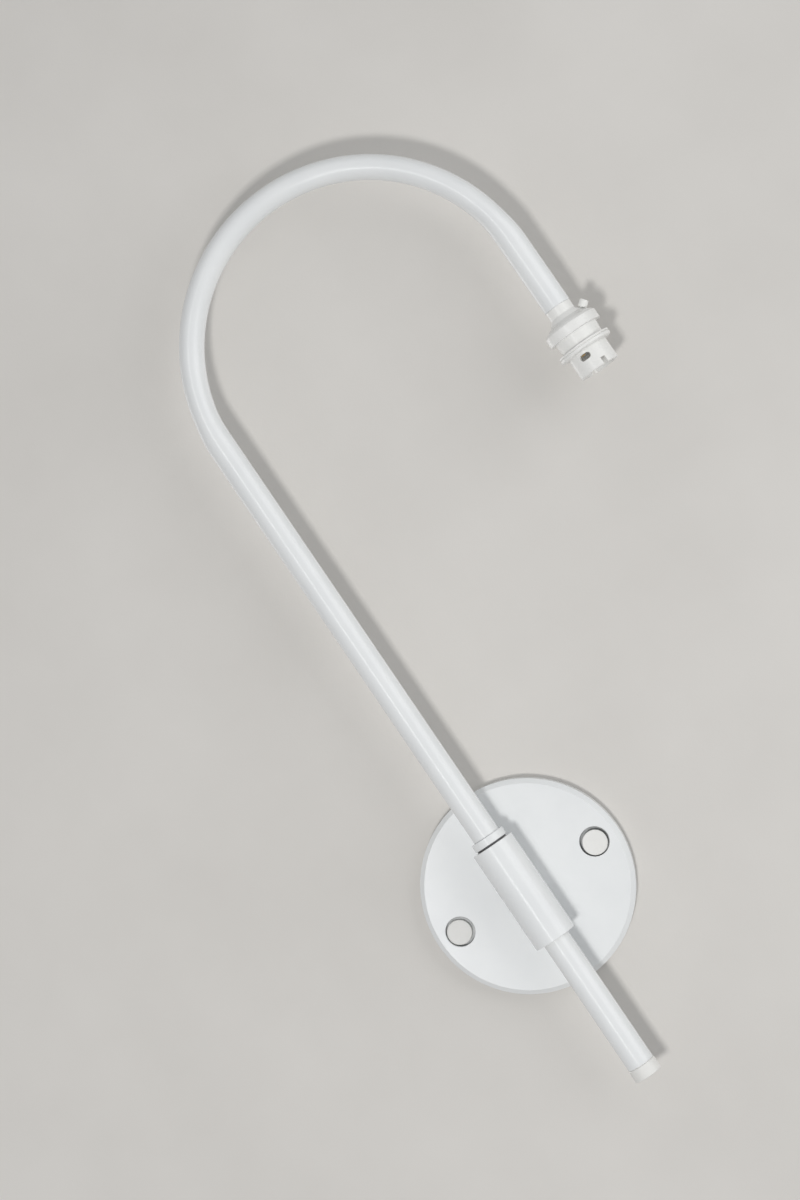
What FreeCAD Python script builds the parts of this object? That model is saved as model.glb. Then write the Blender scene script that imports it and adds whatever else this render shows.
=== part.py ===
import FreeCAD, Part
import math
import os
import Sketcher

# A swan-neck wall light without its shade or lamp. A dished round plate is screwed to the wall. A boss and
# a hollow nipple hold an upright sleeve in front of it, and a bent tube turns in two bushes in the sleeve.
# The tube carries a bayonet lampholder at the end of its short leg.
# The origin is on the wall at the centre of the plate. +X is to the right, +Y into the wall and +Z up.

# Driving sizes in millimetres, by group. Angles are in degrees.
SIZES = {
    # the plate and its two screw cups
    "plate_diameter": 145.0,
    "plate_depth": 14.0,
    "plate_wall": 2.0,
    "plate_chamfer": 3.2,
    "screw_inset": 18.0,
    "screw_hole": 5.5,
    "cup_diameter": 20.2,
    "cup_wall": 1.6,
    "cup_floor": 2.0,
    "cup_ledge_depth": 6.0,
    "cup_ledge_width": 3.6,
    # the plastic caps over the screws
    "lid_gap": 1.5,
    "lid_disc": 2.5,
    "lid_stem_diameter": 9.0,
    "lid_stem_wall": 1.2,
    "lid_left_depth": 3.4,
    "lid_right_depth": 1.2,
    # what holds the sleeve to the plate
    "boss_diameter": 22.0,
    "boss_length": 11.0,
    "nipple_diameter": 9.9,
    "nipple_bore": 7.0,
    "nipple_entry": 7.0,
    "nipple_proud": 0.7,
    "nut_flats": 14.0,
    "nut_height": 3.0,
    "washer_height": 0.8,
    "washer_diameter": 16.4,
    # the sleeve and its bushes
    "sleeve_length": 74.0,
    "sleeve_wall": 3.0,
    "bush_wall": 2.45,
    "bush_length": 18.0,
    "running_gap": 0.05,
    "fit_gap": 0.03,
    "edge_break": 0.5,
    # the bent tube
    "tube_diameter": 19.0,
    "tube_wall": 1.5,
    "bend_radius": 118.0,
    "bend_height": 356.65,
    "short_leg": 52.0,
    "tail_length": 136.0,
    "bend_squash": 0.95,
    "bend_spread": 0.6,
    "squash_angle": 12.0,
    "slot_gap": 0.55,
    "slot_spare_angle": 2.5,
    # the collar that carries the tube on the sleeve, and the plug in the tube's tail
    "thrust_height": 1.3,
    "collar_wall": 2.5,
    "collar_height": 5.3,
    "grub_diameter": 4.0,
    "tail_cap_lip": 0.3,
    "tail_cap_head": 9.0,
    "tail_cap_spigot": 10.0,
    "end_plug_length": 12.0,
    # wires
    "flex_diameter": 6.0,
    "flex_start": 14.0,
    "core_diameter": 2.0,
    "core_spread": 1.25,
    "core_elbow": 6.5,
    "core_bend": 4.0,
    "core_entry": 6.0,
    "core_run_out": 1.5,
    "core_run_in": 9.0,
    "wall_gap": 0.85,
    # the terminal block and the earth stud behind the plate
    "block_width": 28.0,
    "block_height": 18.0,
    "block_depth": 9.0,
    "block_drop": 29.0,
    "terminal_pitch": 8.5,
    "barrel_diameter": 4.4,
    "barrel_bore": 2.7,
    "barrel_length": 14.0,
    "barrel_cover": 4.0,
    "clamp_diameter": 2.8,
    "clamp_length": 3.2,
    "clamp_pitch": 8.0,
    "stud_diameter": 4.0,
    "stud_side": 34.0,
    "stud_drop": 30.0,
    "stud_length": 7.5,
    "tag_sink": 0.2,
    # the lampholder's cap, by distance down from the top of its neck
    "neck_step": 0.3,
    "neck_end": 6.3,
    "cone_rise": 2.7,
    "cone_end": 9.9,
    "flange_overhang": 3.3,
    "flange_top": 13.2,
    "flange_end": 21.1,
    "flange_bevel": 1.55,
    "hood_wall": 1.6,
    "hood_taper": 0.85,
    "hood_end": 29.8,
    "holder_wall": 1.8,
    "thread_depth": 8.5,
    "lock_tilt": 38.0,
    "lock_reach": 3.1,
    "lock_drop": 7.8,
    "lock_head_diameter": 6.0,
    "lock_head_length": 5.0,
    "lock_shank_diameter": 3.0,
    "lock_shank_length": 6.5,
    "lock_slot_width": 1.0,
    "lock_slot_depth": 1.2,
    # the lampholder's skirt and the ring that clamps a shade
    "skirt_wall": 3.0,
    "skirt_top": 22.3,
    "skirt_end": 49.4,
    "socket_bore": 22.5,
    "socket_relief": 0.25,
    "socket_start": 37.5,
    "ledge": 33.0,
    "groove_depth": 1.95,
    "pin_slot": 3.4,
    "rim_notch_height": 4.6,
    "rest_slot_width": 8.0,
    "rest_slot_height": 4.3,
    "rest_slot_drop": 38.7,
    "notch_angle": 24.0,
    "rest_angle": -15.0,
    "ring_reach": 4.75,
    "ring_groove": 0.8,
    "ring_top": 29.9,
    "ring_height": 4.5,
    # the contacts
    "insert_wall": 0.75,
    "contact_spacing": 8.6,
    "plunger_diameter": 3.9,
    "plunger_flange": 0.3,
    "plunger_flange_height": 1.0,
    "plunger_reach": 3.5,
    "pocket_floor": 2.0,
    "spring_pocket": 5.2,
    "spring_diameter": 4.4,
    "spring_wire": 0.6,
    "terminal_height": 6.0,
    "terminal_gap": 2.2,
    "terminal_width": 6.0,
    "terminal_depth": 7.0,
    "terminal_screw": 3.4,
    "earth_terminal_offset": 8.0,
    "earth_terminal_width": 5.0,
    "earth_terminal_depth": 6.0,
    "earth_terminal_screw": 3.0,
}

doc = FreeCAD.newDocument("swan_neck_wall_light")
sheet = doc.addObject("Spreadsheet::Sheet", "dim")
for row, (alias, number) in enumerate(SIZES.items(), start=1):
    sheet.set(f"A{row}", alias)
    sheet.set(f"B{row}", str(number))
    sheet.setAlias(f"B{row}", alias)
doc.recompute()

# Sizes that follow from the driving ones, as expressions for the document.
TUBE_R = "(dim.tube_diameter / 2)"
BORE_R = f"({TUBE_R} - dim.tube_wall)"
SLEEVE_BORE_R = f"({TUBE_R} + dim.running_gap + dim.bush_wall)"
SLEEVE_R = f"({SLEEVE_BORE_R} + dim.sleeve_wall)"
AXIS_OUT = f"(dim.plate_depth + dim.boss_length + {SLEEVE_R})"
AXIS_Y = f"-{AXIS_OUT}"
NIPPLE_R = "(dim.nipple_diameter / 2)"
NIPPLE_HOLE_R = f"({NIPPLE_R} + dim.running_gap)"
PLATE_INSIDE = "(dim.plate_depth - dim.plate_wall)"
SCREW_OUT = "(dim.plate_diameter / 2 - dim.screw_inset)"
BARREL_AXIS = f"({PLATE_INSIDE} - dim.barrel_cover)"
COLLAR_R = f"({TUBE_R} + dim.collar_wall)"
COLLAR_Z = "(dim.sleeve_length / 2 + dim.thrust_height + dim.running_gap)"
HOLDER_X = "(2 * dim.bend_radius)"
HOLDER_Z = "(dim.bend_height - dim.short_leg)"
SOCKET_R = "(dim.socket_bore / 2)"
SKIRT_R = f"({SOCKET_R} + dim.skirt_wall)"
HOOD_R = f"({SKIRT_R} + dim.hood_wall)"
FLANGE_R = f"({HOOD_R} + dim.flange_overhang)"
NECK_R = f"({TUBE_R} - dim.neck_step)"
CONE_R = f"({NECK_R} + dim.cone_rise)"
LOCK_OUT = f"({CONE_R} + dim.lock_reach)"
INSERT_R = f"({SOCKET_R} + dim.insert_wall)"

Vector = FreeCAD.Vector
X_AXIS = Vector(1, 0, 0)
Y_AXIS = Vector(0, 1, 0)
Z_AXIS = Vector(0, 0, 1)

# How a piece that is drawn along its own Z axis is turned to lie along a direction of the light.
TURN = {
    "up": FreeCAD.Rotation(),
    "down": FreeCAD.Rotation(X_AXIS, 180),
    "out": FreeCAD.Rotation(X_AXIS, 90),
    "in": FreeCAD.Rotation(X_AXIS, -90),
    "right": FreeCAD.Rotation(Y_AXIS, 90),
    "left": FreeCAD.Rotation(Y_AXIS, -90),
}
SIDES = (("left", -1), ("right", 1))

pieces = []


def size(alias):
    """The number that the sheet holds now, in millimetres or degrees."""
    return float(sheet.get(alias))


def axis_out():
    """How far the swivel axis stands out from the wall."""
    sleeve_r = size("tube_diameter") / 2 + size("running_gap") + size("bush_wall") + size("sleeve_wall")
    return size("plate_depth") + size("boss_length") + sleeve_r


def keep(item):
    """Count an object as a finished piece, which gets a file of its own."""
    item.Label = item.Name
    pieces.append(item)
    return item


def place(item, x="0", y="0", z="0", along="up"):
    """Turn an object along a direction and bind its place to the sheet."""
    item.Placement = FreeCAD.Placement(Vector(0, 0, 0), TURN[along])
    for letter, expression in (("x", x), ("y", y), ("z", z)):
        if expression != "0":
            item.setExpression(f"Placement.Base.{letter}", expression)
    return item


def hold(sketch, letter, corner, expression, start):
    """Hold a sketch corner at a distance from the origin, or on the axis where that distance is nothing."""
    if expression == "0":
        axis = -2 if letter == "X" else -1
        sketch.addConstraint(Sketcher.Constraint("PointOnObject", corner, 1, axis))
        return
    held = sketch.addConstraint(Sketcher.Constraint(f"Distance{letter}", -1, 1, corner, 1, start))
    sketch.setExpression(f"Constraints[{held}]", expression)


def draw_outline(sketch, outline):
    """Draw a closed outline of straight edges through corners given as pairs of expressions."""
    count = len(outline)
    ring = [Vector(20 + 9 * math.cos(k * math.tau / count), 20 + 9 * math.sin(k * math.tau / count), 0)
            for k in range(count)]
    for k in range(count):
        sketch.addGeometry(Part.LineSegment(ring[k], ring[(k + 1) % count]), False)
    for k in range(count):
        sketch.addConstraint(Sketcher.Constraint("Coincident", k, 2, (k + 1) % count, 1))
    for k, (radius, height) in enumerate(outline):
        hold(sketch, "X", k, radius, ring[k].x)
        hold(sketch, "Y", k, height, ring[k].y)


def turned(name, outline, **where):
    """A body turned about its own Z axis from an outline of (radius, height) corners."""
    body = doc.addObject("PartDesign::Body", name)
    planes = {feature.Role: feature for feature in body.Origin.OriginFeatures}
    sketch = body.newObject("Sketcher::SketchObject", f"{name}_outline")
    sketch.AttachmentSupport = [(planes["XZ_Plane"], "")]
    sketch.MapMode = "FlatFace"
    draw_outline(sketch, outline)
    doc.recompute()
    turn = body.newObject("PartDesign::Revolution", f"{name}_turn")
    turn.Profile = sketch
    turn.ReferenceAxis = (sketch, ["V_Axis"])
    turn.Angle = 360
    body.Tip = turn
    return place(body, **where)


def pipe(name, inner, outer, length, **where):
    """A plain ring or tube."""
    return turned(name, [(inner, "0"), (outer, "0"), (outer, length), (inner, length)], **where)


def cylinder(name, radius, length, **where):
    """A plain round bar, for a piece or as a cutter."""
    bar = doc.addObject("Part::Cylinder", name)
    bar.setExpression("Radius", radius)
    bar.setExpression("Height", length)
    return place(bar, **where)


def block(name, length, width, height, **where):
    """A rectangular block with its low corner at its place."""
    box = doc.addObject("Part::Box", name)
    box.setExpression("Length", length)
    box.setExpression("Width", width)
    box.setExpression("Height", height)
    return place(box, **where)


def hexagon(name, flats, height, **where):
    """A hexagonal bar by its size across the flats."""
    prism = doc.addObject("Part::Prism", name)
    prism.Polygon = 6
    prism.setExpression("Circumradius", f"{flats} / 2 / cos(30)")
    prism.setExpression("Height", height)
    return place(prism, **where)


def fuse(name, items):
    """Join several objects into one."""
    joined = doc.addObject("Part::MultiFuse", name)
    joined.Shapes = items
    return joined


def cut(name, base, tools):
    """Take one or more objects away from another."""
    result = doc.addObject("Part::Cut", name)
    result.Base = base
    result.Tool = tools[0] if len(tools) == 1 else fuse(f"{name}_cutters", tools)
    return result


def group(name, items):
    """Several separate solids of one kind, kept in one file."""
    together = doc.addObject("Part::Compound", name)
    together.Links = items
    return together


def shaped(name, shape, at=Vector(0, 0, 0)):
    """An object whose shape is worked out here and is then put in its place."""
    feature = doc.addObject("Part::Feature", name)
    feature.Shape = shape
    feature.Placement = FreeCAD.Placement(at, FreeCAD.Rotation())
    return feature


def rounded_tube(points, bends, radius):
    """A round bar along straight runs joined by tangent arcs, with one bend radius for each inner point."""
    edges = []
    start = points[0]
    for before, corner, after, bend in zip(points, points[1:], points[2:], bends):
        arriving = (corner - before).normalize()
        leaving = (after - corner).normalize()
        half_turn = arriving.getAngle(leaving) / 2
        reach = bend * math.tan(half_turn)
        inwards = (leaving - arriving).normalize()
        arc_start = corner - arriving * reach
        arc_middle = corner + inwards * (bend / math.cos(half_turn) - bend)
        arc_end = corner + leaving * reach
        edges.append(Part.LineSegment(start, arc_start).toShape())
        edges.append(Part.Arc(arc_start, arc_middle, arc_end).toShape())
        start = arc_end
    edges.append(Part.LineSegment(start, points[-1]).toShape())
    profile = Part.Wire(Part.makeCircle(radius, points[0], points[1] - points[0]))
    return Part.Wire(edges).makePipeShell([profile], True, False)


# ---------------------------------------------------------------- the plate
EDGE_SHARE = "tan(22.5)"


def make_backplate():
    """A dish with its rim on the wall, and two stepped cups whose floors rest on the wall under the screws."""
    rim = "(dim.plate_diameter / 2)"
    inner_rim = f"({rim} - dim.plate_wall)"
    inner_bevel = f"dim.plate_wall * {EDGE_SHARE}"
    dish = turned("plate_dish", [
        (NIPPLE_HOLE_R, "dim.plate_depth"),
        (f"{rim} - dim.plate_chamfer", "dim.plate_depth"),
        (rim, "dim.plate_depth - dim.plate_chamfer"),
        (rim, "0"),
        (inner_rim, "0"),
        (inner_rim, f"dim.plate_depth - dim.plate_chamfer - {inner_bevel}"),
        (f"{rim} - dim.plate_chamfer - {inner_bevel}", PLATE_INSIDE),
        (NIPPLE_HOLE_R, PLATE_INSIDE),
    ], along="out")
    cup_ledge = "(dim.plate_depth - dim.cup_ledge_depth)"
    cups = []
    hollows = []
    for side, sign in SIDES:
        x = f"{sign} * {SCREW_OUT}"
        wide = cylinder(f"cup_{side}", "dim.cup_diameter / 2 + dim.cup_wall",
                        "dim.cup_ledge_depth + dim.cup_wall - dim.plate_wall / 2",
                        x=x, y=f"-({cup_ledge} - dim.cup_wall)", along="out")
        narrow = cylinder(f"cup_foot_{side}", "dim.cup_diameter / 2 - dim.cup_ledge_width + dim.cup_wall",
                          cup_ledge, x=x, along="out")
        wide_hollow = cylinder(f"cup_hollow_{side}", "dim.cup_diameter / 2", "dim.plate_depth",
                               x=x, y=f"-{cup_ledge}", along="out")
        narrow_hollow = cylinder(f"cup_foot_hollow_{side}", "dim.cup_diameter / 2 - dim.cup_ledge_width",
                                 "dim.plate_depth", x=x, y="-dim.cup_floor", along="out")
        hole = cylinder(f"screw_hole_{side}", "dim.screw_hole / 2", "2 * dim.cup_floor",
                        x=x, y="dim.cup_floor / 2", along="out")
        cups += [wide, narrow]
        hollows += [wide_hollow, narrow_hollow, hole]
    keep(cut("backplate", fuse("plate_with_cups", [dish] + cups), hollows))


def make_screw_cap(side, sign, depth, shift_x, shift_z):
    """A plastic cap that pushes on to a screw head: a disc with a tubular stem, loose in its cup."""
    disc_r = "(dim.cup_diameter / 2 - dim.lid_gap)"
    stem_r = "(dim.lid_stem_diameter / 2)"
    stem = "(dim.plate_depth - dim.cup_floor - dim.lid_left_depth - dim.lid_disc)"
    cap = turned(f"screw_cap_{side}", [
        (f"{stem_r} - dim.lid_stem_wall", "0"),
        (stem_r, "0"),
        (stem_r, stem),
        (disc_r, stem),
        (disc_r, f"{stem} + dim.lid_disc - dim.edge_break"),
        (f"{disc_r} - dim.edge_break", f"{stem} + dim.lid_disc"),
        ("0", f"{stem} + dim.lid_disc"),
        ("0", stem),
        (f"{stem_r} - dim.lid_stem_wall", stem),
    ], x=f"{sign} * {SCREW_OUT} + {shift_x} * dim.lid_gap",
       y=f"-(dim.plate_depth - {depth} - dim.lid_disc - {stem})",
       z=f"{shift_z} * dim.lid_gap", along="out")
    keep(cap)


make_backplate()
make_screw_cap("left", -1, "dim.lid_left_depth", -0.85, -0.17)
make_screw_cap("right", 1, "dim.lid_right_depth", -0.12, -0.53)


# ---------------------------------------------------------------- what holds the sleeve
def make_boss():
    """A round spacer between plate and sleeve, with its outer end hollowed to sit on the sleeve."""
    blank = cylinder("boss_blank", "dim.boss_diameter / 2", f"dim.boss_length + {SLEEVE_R} / 2",
                     y="-dim.plate_depth", along="out")
    saddle = cylinder("boss_saddle", f"{SLEEVE_R} + dim.fit_gap", "2 * dim.boss_diameter",
                      y=AXIS_Y, z="-dim.boss_diameter")
    hole = cylinder("boss_hole", NIPPLE_HOLE_R, AXIS_OUT, along="out")
    keep(cut("standoff_boss", blank, [saddle, hole]))


def make_nipple_and_nut():
    """The hollow nipple ends inside the tube's slot, where it is also the stop for the swivel."""
    behind = f"({PLATE_INSIDE} - dim.washer_height - dim.nut_height - dim.nipple_proud)"
    keep(pipe("hollow_nipple", "dim.nipple_bore / 2", NIPPLE_R,
              f"{AXIS_OUT} - dim.nipple_entry - {behind}", y=f"-{behind}", along="out"))
    nut_blank = hexagon("lock_nut_blank", "dim.nut_flats", "dim.nut_height",
                        y=f"-({PLATE_INSIDE} - dim.washer_height - dim.nut_height)", along="out")
    nut_hole = cylinder("lock_nut_hole", NIPPLE_HOLE_R, AXIS_OUT, along="out")
    keep(cut("lock_nut", nut_blank, [nut_hole]))


WASHER_TEETH = 12


def make_tooth_washer():
    """A flat washer with a ring of small bites in its edge, which leaves teeth."""
    blank = pipe("tooth_washer_blank", NIPPLE_HOLE_R, "dim.washer_diameter / 2", "dim.washer_height",
                 y=f"-({PLATE_INSIDE} - dim.washer_height)", along="out")
    cutters = []
    for k in range(WASHER_TEETH):
        angle = 360 * k / WASHER_TEETH
        reach = "dim.washer_diameter / 2"
        cutters.append(cylinder(f"tooth_bite_{k}", "dim.washer_height", "dim.plate_depth",
                                x=f"{reach} * cos({angle})", z=f"{reach} * sin({angle})", along="out"))
    keep(cut("tooth_washer", blank, cutters))


make_boss()
make_nipple_and_nut()
make_tooth_washer()


# ---------------------------------------------------------------- the sleeve
def make_sleeve():
    """An upright tube with broken edges and a hole at its back for the nipple."""
    blank = turned("sleeve_blank", [
        (SLEEVE_BORE_R, "0"),
        (f"{SLEEVE_R} - dim.edge_break", "0"),
        (SLEEVE_R, "dim.edge_break"),
        (SLEEVE_R, "dim.sleeve_length - dim.edge_break"),
        (f"{SLEEVE_R} - dim.edge_break", "dim.sleeve_length"),
        (SLEEVE_BORE_R, "dim.sleeve_length"),
    ], y=AXIS_Y, z="-dim.sleeve_length / 2")
    hole = cylinder("sleeve_hole", NIPPLE_HOLE_R, f"2 * {SLEEVE_R}", y=AXIS_Y, along="in")
    keep(cut("sleeve", blank, [hole]))


def make_bushes():
    """Two nylon bushes, one at each end of the sleeve, and the washer that the collar turns on."""
    low_ends = (("lower", "-dim.sleeve_length / 2"), ("upper", "dim.sleeve_length / 2 - dim.bush_length"))
    for end, low in low_ends:
        keep(pipe(f"bush_{end}", f"{TUBE_R} + dim.running_gap", f"{SLEEVE_BORE_R} - dim.fit_gap",
                  "dim.bush_length", y=AXIS_Y, z=low))
    keep(pipe("thrust_washer", f"{TUBE_R} + dim.running_gap", f"{COLLAR_R} - 2 * dim.edge_break",
              "dim.thrust_height", y=AXIS_Y, z="dim.sleeve_length / 2"))


make_sleeve()
make_bushes()


# ---------------------------------------------------------------- the bent tube
def bend_ring(angle, in_plane, across):
    """A ring round the bend's centre line: angle from its foot, and its two half widths."""
    bend = size("bend_radius")
    centre = Vector(bend - bend * math.cos(angle), 0, size("bend_height") + bend * math.sin(angle))
    outwards = Vector(-math.cos(angle), 0, math.sin(angle))
    if across - in_plane > 1e-6:
        curve = Part.Ellipse(centre + Y_AXIS * across, centre + outwards * in_plane, centre)
    else:
        curve = Part.Circle(centre, Y_AXIS.cross(outwards), across)
        curve.XAxis = Y_AXIS
    return Part.Wire(Part.Edge(curve))


def bent_bar(radius):
    """A round bar along the tube's centre line, which the bending roll has pressed oval round the bend."""
    squash = size("bend_squash")
    spread = size("bend_spread")
    run_in = math.radians(size("squash_angle"))
    middle_rings = 9
    rise = [run_in * share for share in (0, 0.5, 1)]
    middle = [run_in + (math.pi - 2 * run_in) * k / middle_rings for k in range(1, middle_rings)]
    angles = rise + middle + [math.pi - angle for angle in reversed(rise)]
    rings = []
    for angle in angles:
        share = min(1.0, angle / run_in, (math.pi - angle) / run_in)
        eased = share * share * (3 - 2 * share)
        rings.append(bend_ring(angle, radius - squash * eased, radius + spread * eased))
    bend = Part.makeLoft(rings, True, False)
    long_leg = Part.makeCylinder(radius, size("bend_height") + size("tail_length"),
                                 Vector(0, 0, -size("tail_length")), Z_AXIS)
    holder_end = Vector(2 * size("bend_radius"), 0, size("bend_height") - size("short_leg"))
    short_leg = Part.makeCylinder(radius, size("short_leg"), holder_end, Z_AXIS)
    return bend.fuse([long_leg, short_leg])


def make_arm_tube():
    """The tube, with a slot across it where the wires come in, which turns round the fixed nipple."""
    tube_r = size("tube_diameter") / 2
    whole = bent_bar(tube_r).cut(bent_bar(tube_r - size("tube_wall")))
    tube = shaped("bent_tube", whole, Vector(0, -axis_out(), 0))
    nipple_r = size("nipple_diameter") / 2
    half_angle = math.degrees(math.atan2(nipple_r, size("nipple_entry"))) + size("slot_spare_angle")
    slot = doc.addObject("Part::Cylinder", "swivel_slot")
    slot.setExpression("Radius", "dim.tube_diameter")
    slot.setExpression("Height", "dim.nipple_diameter + 2 * dim.slot_gap")
    slot.Angle = 180 + 2 * half_angle
    slot_low = -(nipple_r + size("slot_gap"))
    turn = FreeCAD.Rotation(Z_AXIS, 90 - half_angle)
    slot.Placement = FreeCAD.Placement(Vector(0, -axis_out(), slot_low), turn)
    keep(cut("arm_tube", tube, [slot]))


def make_collar():
    """The collar that rests on the thrust washer, and its grub screw at the back."""
    inner = f"({TUBE_R} + dim.fit_gap)"
    blank = turned("collar_blank", [
        (inner, "0"),
        (f"{COLLAR_R} - dim.edge_break", "0"),
        (COLLAR_R, "dim.edge_break"),
        (COLLAR_R, "dim.collar_height - dim.edge_break"),
        (f"{COLLAR_R} - dim.edge_break", "dim.collar_height"),
        (inner, "dim.collar_height"),
    ], y=AXIS_Y, z=COLLAR_Z)
    middle = f"{COLLAR_Z} + dim.collar_height / 2"
    hole = cylinder("collar_hole", "dim.grub_diameter / 2 + dim.fit_gap", COLLAR_R,
                    y=f"{AXIS_Y} + {TUBE_R} / 2", z=middle, along="in")
    keep(cut("stop_collar", blank, [hole]))
    length = "dim.collar_wall - dim.fit_gap - dim.edge_break"
    screw = cylinder("grub_blank", "dim.grub_diameter / 2", length,
                     y=f"{AXIS_Y} + {inner}", z=middle, along="in")
    socket = hexagon("grub_socket", "(dim.grub_diameter / 2)", "dim.collar_wall",
                     y=f"{AXIS_Y} + {inner} + dim.collar_wall / 3", z=middle, along="in")
    keep(cut("collar_grub_screw", screw, [socket]))


def make_tail_cap():
    """A plastic cap with a spigot, pushed into the open lower end of the tube."""
    head_r = f"({TUBE_R} + dim.tail_cap_lip)"
    spigot_r = f"({BORE_R} - dim.fit_gap)"
    end = "(dim.tail_cap_spigot + dim.tail_cap_head)"
    keep(turned("tail_cap", [
        ("0", "0"),
        (f"{spigot_r} - dim.edge_break", "0"),
        (spigot_r, "dim.edge_break"),
        (spigot_r, "dim.tail_cap_spigot"),
        (head_r, "dim.tail_cap_spigot"),
        (head_r, f"{end} - dim.edge_break"),
        (f"{head_r} - dim.edge_break", end),
        ("0", end),
    ], y=AXIS_Y, z="-dim.tail_length + dim.tail_cap_spigot", along="down"))


def make_arm_end():
    """The threaded plug in the short leg and the nipple that the lampholder screws on to."""
    keep(pipe("arm_end_plug", NIPPLE_HOLE_R, f"{BORE_R} - dim.fit_gap", "dim.end_plug_length",
              x=HOLDER_X, y=AXIS_Y, z=f"{HOLDER_Z} + dim.edge_break"))
    keep(pipe("holder_nipple", "dim.nipple_bore / 2", NIPPLE_R, "dim.end_plug_length + dim.thread_depth",
              x=HOLDER_X, y=AXIS_Y, z=f"{HOLDER_Z} - dim.thread_depth + dim.edge_break"))


make_arm_tube()
make_collar()
make_tail_cap()
make_arm_end()


# ---------------------------------------------------------------- the wires
CORES = (("live", -1, 210), ("earth", 0, 90), ("neutral", 1, 330))
FLEX_STOP = "(dim.neck_end / 2)"


def make_arm_flex():
    """The sheathed flex inside the tube, along the whole of its centre line."""
    flex_r = "dim.flex_diameter / 2"
    rise = cylinder("flex_rise", flex_r, "dim.bend_height - dim.flex_start", y=AXIS_Y, z="dim.flex_start")
    over = doc.addObject("Part::Torus", "flex_over")
    over.setExpression("Radius1", "dim.bend_radius")
    over.setExpression("Radius2", flex_r)
    over.Angle3 = 180
    place(over, x="dim.bend_radius", y=AXIS_Y, z="dim.bend_height", along="out")
    fall = cylinder("flex_fall", flex_r, f"dim.short_leg + {FLEX_STOP}",
                    x=HOLDER_X, y=AXIS_Y, z=f"{HOLDER_Z} - {FLEX_STOP}")
    keep(fuse("arm_flex", [rise, over, fall]))


def make_plate_core(name, lane, angle):
    """One core from its terminal, through the nipple and up the axis of the swivel to the flex."""
    spread = size("core_spread")
    across = spread * math.cos(math.radians(angle))
    lift = spread * math.sin(math.radians(angle))
    inside = size("plate_depth") - size("plate_wall")
    nipple_back = inside - size("washer_height") - size("nut_height") - size("nipple_proud")
    nearest_wall = size("core_diameter") / 2 + size("wall_gap")
    back = -(nearest_wall + spread - lift)
    back_bend = nipple_back + back
    lane_x = lane * size("terminal_pitch")
    barrel_y = size("barrel_cover") - inside
    block_top = size("block_height") / 2 - size("block_drop")
    points = [
        Vector(across, -axis_out() + lift, size("flex_start") - size("running_gap")),
        Vector(across, -axis_out() + lift, lift),
        Vector(across, back, lift),
        Vector(across, back, block_top + size("core_run_in")),
        Vector(lane_x, barrel_y, block_top + size("core_run_out")),
        Vector(lane_x, barrel_y, block_top - size("core_entry")),
    ]
    bends = [size("core_elbow") - lift, back_bend, size("core_bend"), size("core_bend")]
    core = rounded_tube(points, bends, size("core_diameter") / 2)
    keep(shaped(f"plate_core_{name}", core))


make_arm_flex()
for core_name, core_lane, core_angle in CORES:
    make_plate_core(core_name, core_lane, core_angle)


# ---------------------------------------------------------------- the terminal block and the earth stud
BLOCK_LOW = "(-dim.block_drop - dim.block_height / 2)"


def make_terminal_block():
    """A three-way block: a plastic housing, three brass barrels and two clamping screws in each."""
    housing = block("housing_blank", "dim.block_width", "dim.block_depth", "dim.block_height",
                    x="-dim.block_width / 2", y=f"-{PLATE_INSIDE}", z=BLOCK_LOW)
    ways = []
    barrels = []
    bores = []
    shafts = []
    screws = []
    for lane, step, _ in CORES:
        x = f"{step} * dim.terminal_pitch"
        ways.append(cylinder(f"way_{lane}", "dim.barrel_diameter / 2 + dim.fit_gap", "2 * dim.block_height",
                             x=x, y=f"-{BARREL_AXIS}", z=f"{BLOCK_LOW} - dim.block_height / 2"))
        barrels.append(cylinder(f"barrel_{lane}", "dim.barrel_diameter / 2", "dim.barrel_length",
                                x=x, y=f"-{BARREL_AXIS}", z="-dim.block_drop - dim.barrel_length / 2"))
        bores.append(cylinder(f"bore_{lane}", "dim.barrel_bore / 2", "2 * dim.barrel_length",
                              x=x, y=f"-{BARREL_AXIS}", z="-dim.block_drop - dim.barrel_length"))
        for end, sign in (("low", -1), ("high", 1)):
            z = f"-dim.block_drop + {sign} * dim.clamp_pitch / 2"
            shafts.append(cylinder(f"shaft_{lane}_{end}", "dim.clamp_diameter / 2 + dim.fit_gap",
                                   BARREL_AXIS, x=x, z=z, along="out"))
            screws.append(cylinder(f"clamp_{lane}_{end}", "dim.clamp_diameter / 2", "dim.clamp_length",
                                   x=x, y=f"-{BARREL_AXIS} + dim.core_diameter / 2 + dim.fit_gap",
                                   z=z, along="in"))
    keep(cut("terminal_block", housing, ways + shafts))
    keep(cut("terminal_barrels", fuse("barrel_blanks", barrels), bores + shafts))
    keep(group("terminal_screws", screws))


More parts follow.
